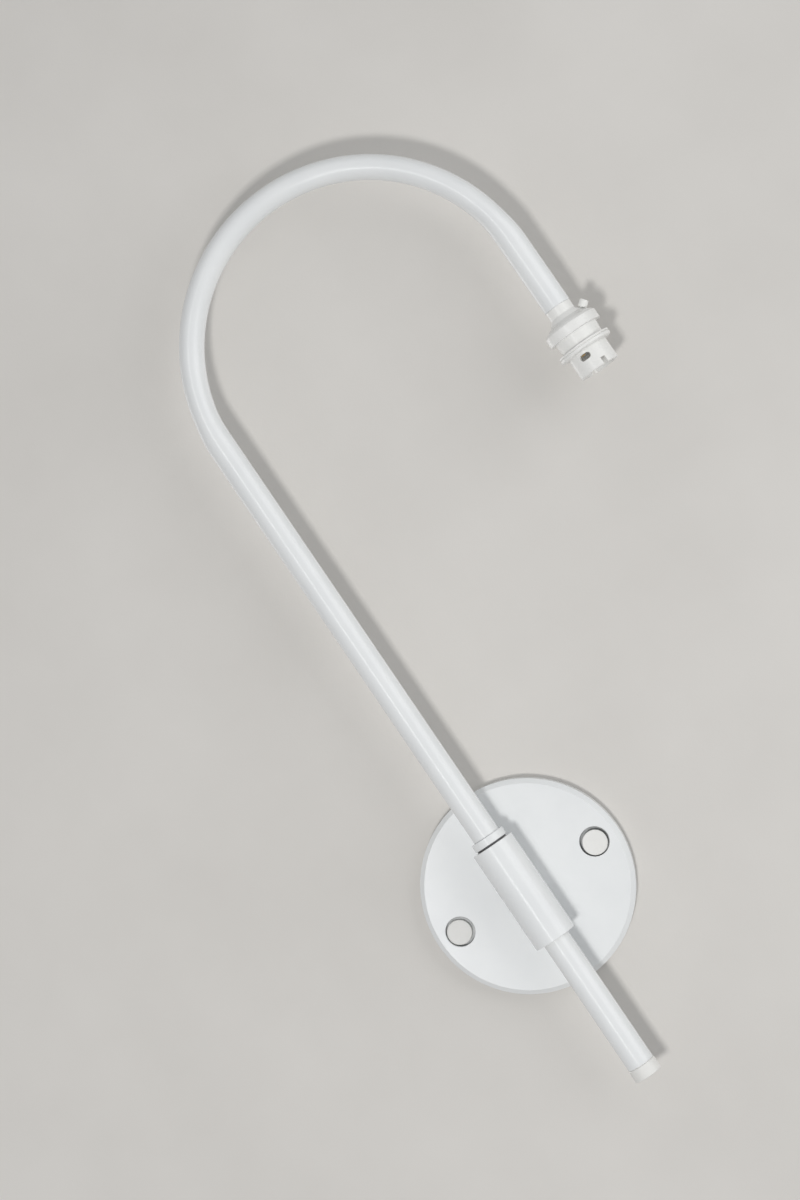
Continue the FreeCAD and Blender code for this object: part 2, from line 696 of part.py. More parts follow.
def make_earth_stud():
    """A welded stud with a nut that clamps the ring tag of the plate's own earth lead."""
    x = "dim.stud_side"
    z = "-dim.stud_drop"
    tag = "dim.washer_height"
    crimp_y = f"-({PLATE_INSIDE} - dim.barrel_bore / 2 - dim.tag_sink)"
    keep(cylinder("earth_stud", "dim.stud_diameter / 2", "dim.stud_length",
                  x=x, y=f"-({PLATE_INSIDE} - dim.stud_length)", z=z, along="out"))
    ring = cylinder("tag_ring", "dim.stud_diameter", tag,
                    x=x, y=f"-({PLATE_INSIDE} - {tag})", z=z, along="out")
    tongue = block("tag_tongue", "2.5 * dim.stud_diameter", tag, "dim.barrel_bore",
                   x=f"{x} - 3 * dim.stud_diameter", y=f"-{PLATE_INSIDE}", z=f"{z} - dim.barrel_bore / 2")
    crimp = cylinder("tag_crimp", "dim.barrel_bore / 2 + dim.fit_gap", "1.5 * dim.stud_diameter",
                     x=f"{x} - 3.5 * dim.stud_diameter", y=crimp_y, z=z, along="right")
    ring_hole = cylinder("tag_hole", "dim.stud_diameter / 2 + dim.fit_gap", "dim.plate_depth",
                         x=x, z=z, along="out")
    core_hole = cylinder("tag_core_hole", "dim.core_diameter / 2 + dim.fit_gap", "1.3 * dim.stud_diameter",
                         x=f"{x} - 3.6 * dim.stud_diameter", y=crimp_y, z=z, along="right")
    keep(cut("earth_tag", fuse("tag_blank", [ring, tongue, crimp]), [ring_hole, core_hole]))
    nut = hexagon("earth_nut_blank", "(1.75 * dim.stud_diameter)", "0.8 * dim.stud_diameter",
                  x=x, y=f"-({PLATE_INSIDE} - {tag} - 0.8 * dim.stud_diameter)", z=z, along="out")
    keep(cut("earth_nut", nut, [ring_hole]))


def make_earth_link():
    """The short lead from the ring tag round the end of the block to the earth terminal."""
    side = size("stud_side")
    drop = -size("stud_drop")
    inside = size("plate_depth") - size("plate_wall")
    depth = -(inside - size("barrel_bore") / 2 - size("tag_sink"))
    barrel_y = size("barrel_cover") - inside
    corner_x = size("block_width") / 2 + 1.5 * size("core_diameter")
    low = -size("block_drop") - size("block_height") / 2 - size("core_entry")
    points = [
        Vector(side - 2.5 * size("stud_diameter"), depth, drop),
        Vector(corner_x, depth, drop),
        Vector(corner_x, barrel_y, low),
        Vector(0, barrel_y, low),
        Vector(0, barrel_y, -size("block_drop") - size("barrel_length") / 2 + 1.5 * size("core_diameter")),
    ]
    bends = [0.75 * size("core_bend"), size("core_bend"), size("core_bend")]
    keep(shaped("earth_link", rounded_tube(points, bends, size("core_diameter") / 2)))


make_terminal_block()
make_earth_stud()
make_earth_link()


# ---------------------------------------------------------------- the lampholder
AT_HOLDER = {"x": HOLDER_X, "y": AXIS_Y, "z": HOLDER_Z, "along": "down"}


def below(distance):
    """The place on the holder's axis at a distance below the top of its neck, for a piece drawn upwards."""
    return {"x": HOLDER_X, "y": AXIS_Y, "z": f"{HOLDER_Z} - ({distance})"}


def along_lock_screw(item, start="0"):
    """Put an object on the lock screw's slanting axis, at a distance from the screw's inner end."""
    place(item)
    back = f"(dim.lock_shank_length + dim.lock_head_length / 2 - {start})"
    item.Placement = FreeCAD.Placement(Vector(0, 0, 0), FreeCAD.Rotation(Y_AXIS, 90 - size("lock_tilt")))
    item.setExpression("Placement.Base.x", f"{HOLDER_X} + {LOCK_OUT} - cos(dim.lock_tilt) * {back}")
    item.setExpression("Placement.Base.y", AXIS_Y)
    item.setExpression("Placement.Base.z", f"{HOLDER_Z} - dim.lock_drop - sin(dim.lock_tilt) * {back}")
    return item


def make_holder_cap():
    """The cap: a threaded neck, a cone, a wide flange and a hood over the top of the skirt."""
    wall = "dim.holder_wall"
    hood_bore = f"({SKIRT_R} + dim.fit_gap)"
    blank = turned("holder_cap_blank", [
        (NIPPLE_HOLE_R, "0"),
        (NECK_R, "0"),
        (NECK_R, "dim.neck_end"),
        (CONE_R, "dim.cone_end"),
        (f"{FLANGE_R} - dim.flange_bevel", "dim.flange_top"),
        (FLANGE_R, "dim.flange_top + dim.flange_bevel"),
        (FLANGE_R, "dim.flange_end - dim.edge_break"),
        (f"{FLANGE_R} - dim.edge_break", "dim.flange_end"),
        (HOOD_R, "dim.flange_end"),
        (f"{HOOD_R} - dim.hood_taper", "dim.hood_end"),
        (hood_bore, "dim.hood_end"),
        (hood_bore, f"dim.flange_end - {wall} / 1.5"),
        (f"{FLANGE_R} - {wall}", f"dim.flange_end - {wall} / 1.5"),
        (f"{FLANGE_R} - {wall}", f"dim.flange_top + dim.flange_bevel + {wall} / 4"),
        (f"{FLANGE_R} - dim.flange_bevel - {wall} / 2", f"dim.flange_top + {wall} * 0.85"),
        (f"{CONE_R} - {wall} / 2", f"dim.cone_end + {wall} * 0.85"),
        (f"{NECK_R} - {wall} / 3", "dim.thread_depth"),
        (NIPPLE_HOLE_R, "dim.thread_depth"),
    ], **AT_HOLDER)
    hole = along_lock_screw(cylinder("lock_hole", "dim.lock_shank_diameter / 2 + dim.fit_gap",
                                     "dim.lock_shank_length"))
    seat = along_lock_screw(cylinder("lock_seat", "dim.lock_head_diameter / 2 + dim.running_gap",
                                     "2 * dim.lock_head_length"), "dim.lock_shank_length")
    keep(cut("lampholder_cap", blank, [hole, seat]))


def make_lock_screw():
    """A cheese-head screw with a slot, standing out of the cone."""
    shank_r = "(dim.lock_shank_diameter / 2)"
    head_r = "(dim.lock_head_diameter / 2)"
    whole = "(dim.lock_shank_length + dim.lock_head_length)"
    blank = along_lock_screw(turned("lock_screw_blank", [
        ("0", "0"),
        (shank_r, "0"),
        (shank_r, "dim.lock_shank_length"),
        (head_r, "dim.lock_shank_length"),
        (head_r, f"{whole} - dim.edge_break"),
        (f"{head_r} - dim.edge_break", whole),
        ("0", whole),
    ]))
    slot = block("lock_slot", "2 * dim.lock_head_diameter", "dim.lock_slot_width",
                 "2 * dim.lock_slot_depth")
    tilt = FreeCAD.Rotation(Y_AXIS, 90 - size("lock_tilt"))
    tilt_angle = math.radians(size("lock_tilt"))
    cone_r = size("tube_diameter") / 2 - size("neck_step") + size("cone_rise")
    middle = Vector(2 * size("bend_radius") + cone_r + size("lock_reach"), -axis_out(),
                    size("bend_height") - size("short_leg") - size("lock_drop"))
    to_floor = size("lock_head_length") / 2 - size("lock_slot_depth")
    floor = middle + Vector(math.cos(tilt_angle), 0, math.sin(tilt_angle)) * to_floor
    corner = tilt.multVec(Vector(-size("lock_head_diameter"), -size("lock_slot_width") / 2, 0))
    slot.Placement = FreeCAD.Placement(floor + corner, tilt)
    keep(cut("lock_screw", blank, [slot]))


def around_holder(item, angle, offset, turn="up"):
    """Place an object at an offset from the neck's top, turned about the holder's axis from the front."""
    centre = Vector(2 * size("bend_radius"), -axis_out(), size("bend_height") - size("short_leg"))
    spin = FreeCAD.Placement(centre, FreeCAD.Rotation(Z_AXIS, angle))
    item.Placement = spin * FreeCAD.Placement(offset, TURN[turn])
    return item


def bayonet_cutters(way, angle):
    """The way in for one lamp pin: a rim notch, a groove up, a groove round and the slot it rests in."""
    reach = size("socket_bore") + 2 * size("skirt_wall")
    pin = size("pin_slot")
    groove_r = size("socket_bore") / 2 + size("groove_depth")
    end = size("skirt_end")
    notch_height = size("rim_notch_height")
    rest_low = size("rest_slot_drop") + size("rest_slot_height") / 2
    rest_top = size("rest_slot_drop") - size("rest_slot_height") / 2
    notch_at = angle + size("notch_angle")
    rest_at = angle + size("rest_angle")

    notch = doc.addObject("Part::Box", f"notch_{way}")
    notch.setExpression("Length", "dim.pin_slot")
    notch.setExpression("Width", f"2 * {SKIRT_R}")
    notch.setExpression("Height", "2 * dim.rim_notch_height")
    around_holder(notch, notch_at, Vector(-pin / 2, -reach, -end - notch_height))

    groove = doc.addObject("Part::Box", f"groove_{way}")
    groove.setExpression("Length", "dim.pin_slot")
    groove.Width = groove_r
    groove.Height = 2 * end - 2 * rest_low
    around_holder(groove, notch_at, Vector(-pin / 2, -groove_r, -2 * end + rest_low))

    pin_angle = math.degrees(pin / 2 / groove_r)
    sector = doc.addObject("Part::Cylinder", f"sector_{way}")
    sector.Radius = groove_r
    sector.setExpression("Height", "dim.rest_slot_height")
    sector.Angle = size("notch_angle") - size("rest_angle") + 2 * pin_angle
    around_holder(sector, rest_at - pin_angle - 90, Vector(0, 0, -rest_low))

    half_straight = (size("rest_slot_width") - size("rest_slot_height")) / 2
    slot_bar = doc.addObject("Part::Box", f"rest_bar_{way}")
    slot_bar.Length = 2 * half_straight
    slot_bar.setExpression("Width", f"2 * {SKIRT_R}")
    slot_bar.setExpression("Height", "dim.rest_slot_height")
    around_holder(slot_bar, rest_at, Vector(-half_straight, -reach, -rest_low))
    ends = []
    for side, sign in SIDES:
        slot_end = doc.addObject("Part::Cylinder", f"rest_end_{way}_{side}")
        slot_end.setExpression("Radius", "dim.rest_slot_height / 2")
        slot_end.setExpression("Height", f"2 * {SKIRT_R}")
        around_holder(slot_end, rest_at, Vector(sign * half_straight, 0, -(rest_low + rest_top) / 2), "out")
        ends.append(slot_end)
    return [notch, groove, sector, slot_bar] + ends


def make_skirt():
    """The skirt that a lamp's cap slides into, with two bayonet ways half a turn apart."""
    relief_r = f"({SOCKET_R} + dim.socket_relief)"
    blank = turned("skirt_blank", [
        (INSERT_R, "dim.skirt_top"),
        (SKIRT_R, "dim.skirt_top"),
        (SKIRT_R, "dim.skirt_end - dim.edge_break"),
        (f"{SKIRT_R} - dim.edge_break", "dim.skirt_end"),
        (SOCKET_R, "dim.skirt_end"),
        (SOCKET_R, "dim.socket_start"),
        (relief_r, "dim.socket_start"),
        (relief_r, "dim.ledge"),
        (INSERT_R, "dim.ledge"),
    ], **AT_HOLDER)
    cutters = bayonet_cutters("front", 0) + bayonet_cutters("back", 180)
    keep(cut("lampholder_skirt", blank, cutters))


def make_shade_ring():
    """The ring that screws up the skirt to clamp a shade, with a groove round its rim."""
    inner = f"({SKIRT_R} + dim.running_gap)"
    rim = f"({SKIRT_R} + dim.ring_reach)"
    steps = [
        (inner, "0"),
        (rim, "0"),
        (rim, "dim.ring_height * 0.24"),
        (f"{rim} - dim.ring_groove", "dim.ring_height * 0.3"),
        (f"{rim} - dim.ring_groove", "dim.ring_height * 0.36"),
        (rim, "dim.ring_height * 0.42"),
        (rim, "dim.ring_height * 0.76"),
        (f"{rim} - dim.edge_break", "dim.ring_height * 0.86"),
        (f"{rim} - 4 * dim.edge_break", "dim.ring_height"),
        (inner, "dim.ring_height"),
    ]
    keep(turned("shade_ring", steps, x=HOLDER_X, y=AXIS_Y, z=f"{HOLDER_Z} - dim.ring_top", along="down"))


def make_contacts():
    """The insulating insert, and a sprung plunger and a spring on each side of its middle."""
    flange_r = "(dim.plunger_diameter / 2 + dim.plunger_flange)"
    shoulder = "(dim.ledge - dim.pocket_floor)"
    blank = cylinder("insert_blank", f"{INSERT_R} - dim.fit_gap", "dim.ledge - dim.skirt_top",
                     **below("dim.ledge"))
    cutters = []
    for side, sign in SIDES:
        x = f"{HOLDER_X} + {sign} * dim.contact_spacing / 2"
        cutters.append(cylinder(f"pocket_{side}", "dim.spring_pocket / 2", "dim.ledge",
                                x=x, y=AXIS_Y, z=f"{HOLDER_Z} - {shoulder}"))
        cutters.append(cylinder(f"guide_{side}", "dim.plunger_diameter / 2 + dim.running_gap", "dim.ledge",
                                x=x, y=AXIS_Y, z=f"{HOLDER_Z} - dim.ledge - dim.edge_break"))
    keep(cut("contact_insert", blank, cutters))
    for side, sign in SIDES:
        x = f"{HOLDER_X} + {sign} * dim.contact_spacing / 2"
        pin_r = "(dim.plunger_diameter / 2)"
        head = "dim.plunger_flange_height"
        top = f"{HOLDER_Z} - {shoulder} + {head}"
        tip = f"(dim.pocket_floor + {head} + dim.plunger_reach)"
        keep(turned(f"plunger_{side}", [
            ("0", "0"),
            (flange_r, "0"),
            (flange_r, head),
            (pin_r, head),
            (pin_r, f"{tip} - 2 * dim.edge_break"),
            (f"{pin_r} - 2 * dim.edge_break", tip),
            ("0", tip),
        ], x=x, y=AXIS_Y, z=top, along="down"))
        keep(pipe(f"plunger_spring_{side}", "dim.spring_diameter / 2 - dim.spring_wire",
                  "dim.spring_diameter / 2", f"{shoulder} - {head} - dim.skirt_top", x=x, y=AXIS_Y, z=top))


def make_holder_terminals():
    """Two live terminals above the springs and an earth terminal, each a brass block with a screw."""
    top = "(dim.skirt_top - dim.terminal_height)"
    wire_in = "dim.core_diameter / 2 + dim.fit_gap"
    screw_r = "dim.clamp_diameter / 2"
    middle = f"{HOLDER_Z} - dim.skirt_top + dim.terminal_height / 2"
    wire_low = f"{HOLDER_Z} - {top} - dim.terminal_height * 0.7"
    floor = f"{HOLDER_Z} - dim.skirt_top"
    lane = "(dim.terminal_gap + dim.terminal_width / 2)"
    high = "dim.terminal_height"
    screws = []
    for side, sign in SIDES:
        x = f"{HOLDER_X} + {sign} * {lane}"
        along = "right" if sign > 0 else "left"
        blank = block(f"terminal_blank_{side}", "dim.terminal_width", "dim.terminal_depth", high,
                      x=f"{x} - dim.terminal_width / 2", y=f"{AXIS_Y} - dim.terminal_depth / 2", z=floor)
        wire = cylinder(f"terminal_wire_{side}", wire_in, high, x=x, y=AXIS_Y, z=wire_low)
        bore = cylinder(f"terminal_bore_{side}", f"{screw_r} + dim.fit_gap", "dim.terminal_width",
                        x=x, y=AXIS_Y, z=middle, along=along)
        keep(cut(f"holder_terminal_{side}", blank, [wire, bore]))
        screws.append(cylinder(f"terminal_screw_{side}", screw_r, "dim.terminal_screw",
                               x=f"{x} + {sign} * ({wire_in})", y=AXIS_Y, z=middle, along=along))
    y = f"{AXIS_Y} + dim.earth_terminal_offset"
    earth_x = f"{HOLDER_X} - dim.earth_terminal_width / 2"
    blank = block("earth_blank", "dim.earth_terminal_width", "dim.earth_terminal_depth", high,
                  x=earth_x, y=f"{y} - dim.earth_terminal_depth / 2", z=floor)
    wire = cylinder("earth_wire", wire_in, high, x=HOLDER_X, y=y, z=wire_low)
    bore = cylinder("earth_bore", f"{screw_r} + dim.fit_gap", "dim.earth_terminal_depth",
                    x=HOLDER_X, y=y, z=middle, along="in")
    keep(cut("holder_terminal_earth", blank, [wire, bore]))
    screws.append(cylinder("earth_screw", screw_r, "dim.earth_terminal_screw",
                           x=HOLDER_X, y=f"{y} + {wire_in}", z=middle, along="in"))
    keep(group("holder_terminal_screws", screws))


def make_holder_core(name, end_x, end_y, angle):
    """One core from the end of the flex, spreading out to its terminal."""
    neck = Vector(2 * size("bend_radius"), -axis_out(), size("bend_height") - size("short_leg"))
    spread = size("core_spread")
    start = Vector(spread * math.cos(math.radians(angle)), spread * math.sin(math.radians(angle)), 0)
    end = Vector(end_x, end_y, 0)
    flex_stop = size("neck_end") / 2
    terminal_top = size("skirt_top") - size("terminal_height")
    points = [
        start - Z_AXIS * (flex_stop + size("fit_gap")),
        start - Z_AXIS * (size("thread_depth") + 0.5),
        end - Z_AXIS * (terminal_top - 2),
        end - Z_AXIS * (terminal_top + 0.4 * size("terminal_height")),
    ]
    bend = 1.75 * size("core_diameter")
    core = rounded_tube(points, [bend, bend], size("core_diameter") / 2)
    keep(shaped(f"holder_core_{name}", core, neck))


make_holder_cap()
make_lock_screw()
make_skirt()
make_shade_ring()
make_contacts()
make_holder_terminals()
terminal_lane = size("terminal_gap") + size("terminal_width") / 2
make_holder_core("live", -terminal_lane, 0, 210)
make_holder_core("neutral", terminal_lane, 0, 330)
make_holder_core("earth", 0, size("earth_terminal_offset"), 90)

# ---------------------------------------------------------------- check and write
doc.recompute()
for item in doc.Objects:
    if "Invalid" in item.State or "Error" in item.State:
        raise RuntimeError(f"{item.Name} did not compute: {item.State}")
for piece in pieces:
    if piece.Shape.isNull() or not piece.Shape.isValid() or not piece.Shape.Solids:
        raise RuntimeError(f"{piece.Name} has no valid solid")

os.makedirs("parts", exist_ok=True)
for piece in pieces:
    piece.Shape.exportStep(os.path.join("parts", f"{piece.Label}.step"))
    box = piece.Shape.BoundBox
    print(f"{piece.Label:24s} {len(piece.Shape.Solids)} solid  {piece.Shape.Volume:10.1f} mm3"
          f"  x {box.XMin:.1f}..{box.XMax:.1f}  y {box.YMin:.1f}..{box.YMax:.1f}"
          f"  z {box.ZMin:.1f}..{box.ZMax:.1f}")
print(len(pieces), "pieces")
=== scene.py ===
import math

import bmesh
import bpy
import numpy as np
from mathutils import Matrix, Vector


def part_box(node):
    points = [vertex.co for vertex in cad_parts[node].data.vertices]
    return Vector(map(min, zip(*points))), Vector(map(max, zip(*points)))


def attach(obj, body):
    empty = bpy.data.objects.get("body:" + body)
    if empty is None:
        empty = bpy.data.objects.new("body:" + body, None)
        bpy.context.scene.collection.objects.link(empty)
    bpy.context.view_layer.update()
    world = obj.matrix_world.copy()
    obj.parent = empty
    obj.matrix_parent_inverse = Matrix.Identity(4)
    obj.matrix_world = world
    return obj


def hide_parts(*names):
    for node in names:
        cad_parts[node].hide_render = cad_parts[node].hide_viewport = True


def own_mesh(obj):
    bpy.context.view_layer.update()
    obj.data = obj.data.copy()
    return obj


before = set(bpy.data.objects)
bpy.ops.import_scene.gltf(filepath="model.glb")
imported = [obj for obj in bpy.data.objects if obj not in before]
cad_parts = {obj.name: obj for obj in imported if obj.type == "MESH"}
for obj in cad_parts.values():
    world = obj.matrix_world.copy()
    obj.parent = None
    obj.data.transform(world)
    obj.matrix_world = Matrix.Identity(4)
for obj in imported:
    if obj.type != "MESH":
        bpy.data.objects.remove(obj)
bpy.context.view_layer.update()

# %% [markdown]
# # A swan-neck wall light, piece by piece
# The light has a dished round plate, an upright sleeve held in front of it, and a tube bent like a walking
# stick that turns in the sleeve. At the end of the tube's short leg hangs a bayonet lampholder.
# Each cell below makes one piece as a surface worked out on a grid of numbers, or gives a finish to a piece
# that already has its shape. All lengths are in metres, and `mm` turns a size in millimetres into metres.

mm = 0.001
full_turn = 2 * math.pi

# %% [markdown]
# ## Where things are
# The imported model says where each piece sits, so the places are read from it once and get names here.
# The sleeve's axis is upright, and the lampholder hangs on a second upright axis at the short leg's end.

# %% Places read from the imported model


def middle(node):
    """The centre of a node's box."""
    low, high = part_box(node)
    return np.array((low + high) / 2)


sleeve_low, sleeve_high = (np.array(corner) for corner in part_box("sleeve"))
swivel = middle("sleeve")
holder = middle("holder_nipple")
neck_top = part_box("lampholder_cap")[1].z
tube_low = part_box("arm_tube")[0]
plate_low, plate_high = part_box("backplate")
print("swivel axis at", swivel.round(4), "holder axis at", holder.round(4), "neck top", round(neck_top, 4))

# %% [markdown]
# ## Outlines with rounded corners
# No real edge is perfectly sharp: paint and moulding leave a small radius that catches the light.
# An outline is typed as a few corners, and every corner is then swapped for a small arc.
# A pair of extra points just beyond each arc keeps the flat faces next to it flat when they are shaded.

# %% Round the corners of an outline


def softened(corners, soft, closed=True, steps=5):
    """Outline corners (radius, height) swapped for arcs.

    Both edges at a corner are cut back by soft / tan(half the corner's angle), though never past 0.45 of
    the shorter edge, and an arc about the point where both cuts' normals meet joins the two cuts.
    """
    corners = np.asarray(corners, float)
    before = np.roll(corners, 1, axis=0) - corners
    after = np.roll(corners, -1, axis=0) - corners
    length_before = np.linalg.norm(before, axis=1, keepdims=True)
    length_after = np.linalg.norm(after, axis=1, keepdims=True)
    before = before / length_before
    after = after / length_after
    half = np.arccos(np.clip((before * after).sum(1, keepdims=True), -1, 1)) / 2
    half = np.minimum(half, math.pi / 2 - 1e-4)
    room = np.minimum(length_before, length_after) * 0.45
    cut = np.minimum(np.reshape(soft, (-1, 1)) / np.tan(half), room)
    radius = cut * np.tan(half)
    inward = before + after
    inward = inward / np.linalg.norm(inward, axis=1, keepdims=True)
    centre = corners + inward * radius / np.sin(half)
    start = corners + before * cut - centre
    finish = corners + after * cut - centre
    sweep = math.pi - 2 * half
    share = np.linspace(0, 1, steps)[None, :, None]
    arc = (np.sin((1 - share) * sweep[:, None]) * start[:, None]
           + np.sin(share * sweep[:, None]) * finish[:, None]) / np.sin(sweep[:, None])
    spare = np.minimum(room - cut, 0.15 * mm) * 0.9
    first = (corners + before * (cut + spare))[:, None]
    last = (corners + after * (cut + spare))[:, None]
    points = np.concatenate([first, arc + centre[:, None], last], axis=1)
    if not closed:
        points = np.concatenate([corners[:1], points[1:-1].reshape(-1, 2), corners[-1:]])
    points = points.reshape(-1, 2)
    apart = np.linalg.norm(points - np.roll(points, 1, axis=0), axis=1) > 1e-7
    return points[apart]


# %% [markdown]
# ## Surfaces from grids
# Turning an outline round an axis gives a grid of points: one row for each outline point, one column for
# each step of the turn. Neighbouring rows and columns make four-sided faces. Rows that shrink to the axis
# are merged to one point, so every surface is closed.

# %% Turn an outline, and make a piece from grids


def axes_for(direction):
    """Two directions across an axis, and the axis itself."""
    along = np.asarray(direction, float)
    along = along / np.linalg.norm(along)
    across = np.array([1.0, 0, 0]) if abs(along[0]) < 0.9 else np.array([0, 0, 1.0])
    across = across - along * (across @ along)
    across = across / np.linalg.norm(across)
    return across, np.cross(along, across), along


def turned(outline, foot, direction=(0, 0, 1), columns=96, widen=None):
    """foot + radius * (cos a * side + sin a * front) + height * axis, for each outline point and angle a.

    widen(radius, angle) may change the radius with the angle, which makes a hexagon or teeth.
    """
    side, front, along = axes_for(direction)
    angle = np.arange(columns) * full_turn / columns
    radius = outline[:, :1] * np.ones(columns)
    if widen is not None:
        radius = widen(radius, angle[None, :])
    ring = radius[..., None] * (np.cos(angle)[:, None] * side + np.sin(angle)[:, None] * front)
    return np.asarray(foot) + ring + outline[:, 1][:, None, None] * along


def grid_faces(rows, columns, wrap_rows, wrap_columns=True, first=0):
    """Four corners for each cell of a grid, counted row by row; a wrapped direction joins its ends."""
    row, column = np.meshgrid(np.arange(rows if wrap_rows else rows - 1),
                              np.arange(columns if wrap_columns else columns - 1), indexing="ij")
    next_row = (row + 1) % rows
    next_column = (column + 1) % columns
    cells = np.stack([row * columns + column, row * columns + next_column,
                      next_row * columns + next_column, next_row * columns + column], axis=-1)
    return cells.reshape(-1, 4) + first


def built(name, points, faces, crease=40, fill_planes=(), recalculate=True):
    """A finished object from points and faces.

    Doubles are merged, faces turned outwards unless they already are, and edges over `crease` kept sharp.
    """
    mesh = bpy.data.meshes.new(name)
    mesh.from_pydata(np.asarray(points, float).reshape(-1, 3).tolist(), [], np.asarray(faces).tolist())
    shell = bmesh.new()
    shell.from_mesh(mesh)
    bmesh.ops.remove_doubles(shell, verts=shell.verts, dist=2e-7)
    bmesh.ops.dissolve_degenerate(shell, edges=shell.edges, dist=1e-8)
    for height in fill_planes:
        loops = [edge for edge in shell.edges if len(edge.link_faces) == 1
                 and all(abs(vert.co.y - height) < 1e-6 for vert in edge.verts)]
        bmesh.ops.triangle_fill(shell, edges=loops, use_beauty=True)
    if recalculate:
        bmesh.ops.recalc_face_normals(shell, faces=shell.faces)
    shell.to_mesh(mesh)
    shell.free()
    mesh.shade_smooth()
    mesh.set_sharp_from_angle(angle=math.radians(crease))
    piece = bpy.data.objects.new(name, mesh)
    bpy.context.scene.collection.objects.link(piece)
    return piece


def several(grids, wrap_rows):
    """The points and faces of several grids together."""
    points, faces, first = [], [], 0
    for grid in grids:
        rows, columns = grid.shape[:2]
        faces.append(grid_faces(rows, columns, wrap_rows, True, first))
        points.append(grid.reshape(-1, 3))
        first += rows * columns
    return np.concatenate(points), np.concatenate(faces)


def turned_piece(name, outline, foot, direction=(0, 0, 1), columns=96, widen=None, crease=40):
    """A turned piece, closed by its poles if its outline starts and ends on the axis, or else by a wrap."""
    on_axis = outline[0, 0] < 1e-9 and outline[-1, 0] < 1e-9
    grid = turned(outline, foot, direction, columns, widen)
    return built(name, *several([grid], not on_axis), crease=crease)


# %% [markdown]
# ## Finishes
# The finishes come before the pieces, because each piece gets its finish as soon as it is made.
# Every pattern reads Object coordinates, which are real metres here, so a noise scale of 1000 means a grain
# of about one millimetre. A finish has three parts: slow changes of colour, a changing gloss, and a fine
# relief that bends the highlight.

# %% What every finish is made of


class Finish:
    """A surface finish under construction: a shader and the patterns wired into it."""

    def __init__(self, name):
        self.material = bpy.data.materials.new(name)
        self.material.use_nodes = True
        self.tree = self.material.node_tree
        self.shader = self.tree.nodes["Principled BSDF"]
        self.place = self.tree.nodes.new("ShaderNodeTexCoord").outputs["Object"]

    def node(self, kind, **values):
        made = self.tree.nodes.new(kind)
        for key, value in values.items():
            made.inputs[key].default_value = value
        return made

    def wire(self, out, into):
        self.tree.links.new(out, into)
        return self

    def noise(self, scale, detail=3.0, stretch=(1, 1, 1), centre=(0, 0, 0), tilt=(0, 0, 0)):
        """A cloudy pattern between 0 and 1, with about `scale` patches to the metre."""
        spread = self.node("ShaderNodeMapping", Scale=stretch, Location=centre, Rotation=tilt)
        cloud = self.node("ShaderNodeTexNoise", Scale=scale, Detail=detail, Roughness=0.55)
        self.wire(self.place, spread.inputs["Vector"]).wire(spread.outputs["Vector"], cloud.inputs["Vector"])
        return cloud.outputs["Fac"]

    def between(self, amount, low, high, start=0.35, end=0.65):
        """A colour that goes from low to high as the pattern goes from start to end."""
        ramp = self.tree.nodes.new("ShaderNodeValToRGB")
        ramp.color_ramp.elements[0].position = start
        ramp.color_ramp.elements[0].color = (*low, 1)
        ramp.color_ramp.elements[1].position = end
        ramp.color_ramp.elements[1].color = (*high, 1)
        self.wire(amount, ramp.inputs["Fac"])
        return ramp.outputs["Color"]

    def over(self, amount, below, above):
        """One colour laid over another where the pattern is 1."""
        mix = self.tree.nodes.new("ShaderNodeMix")
        mix.data_type = "RGBA"
        self.wire(amount, mix.inputs["Factor"]).wire(below, mix.inputs["A"]).wire(above, mix.inputs["B"])
        return mix.outputs["Result"]

    def colour(self, out):
        return self.wire(out, self.shader.inputs["Base Color"])

    def gloss(self, amount, low, high):
        """Roughness from low to high with the pattern."""
        span = self.node("ShaderNodeMapRange",
                         **{"From Min": 0.3, "From Max": 0.7, "To Min": low, "To Max": high})
        self.wire(amount, span.inputs["Value"]).wire(span.outputs["Result"], self.shader.inputs["Roughness"])
        return self

    def relief(self, amount, height, strength=1.0):
        """A fine relief of the real height in metres."""
        bump = self.node("ShaderNodeBump", Strength=strength, Distance=height)
        self.wire(amount, bump.inputs["Height"]).wire(bump.outputs["Normal"], self.shader.inputs["Normal"])
        return self

    def fixed(self, **values):
        """Numbers that are the same all over, set on the shader's own sockets."""
        for key, value in values.items():
            self.shader.inputs[key.replace("_", " ")].default_value = value
        return self
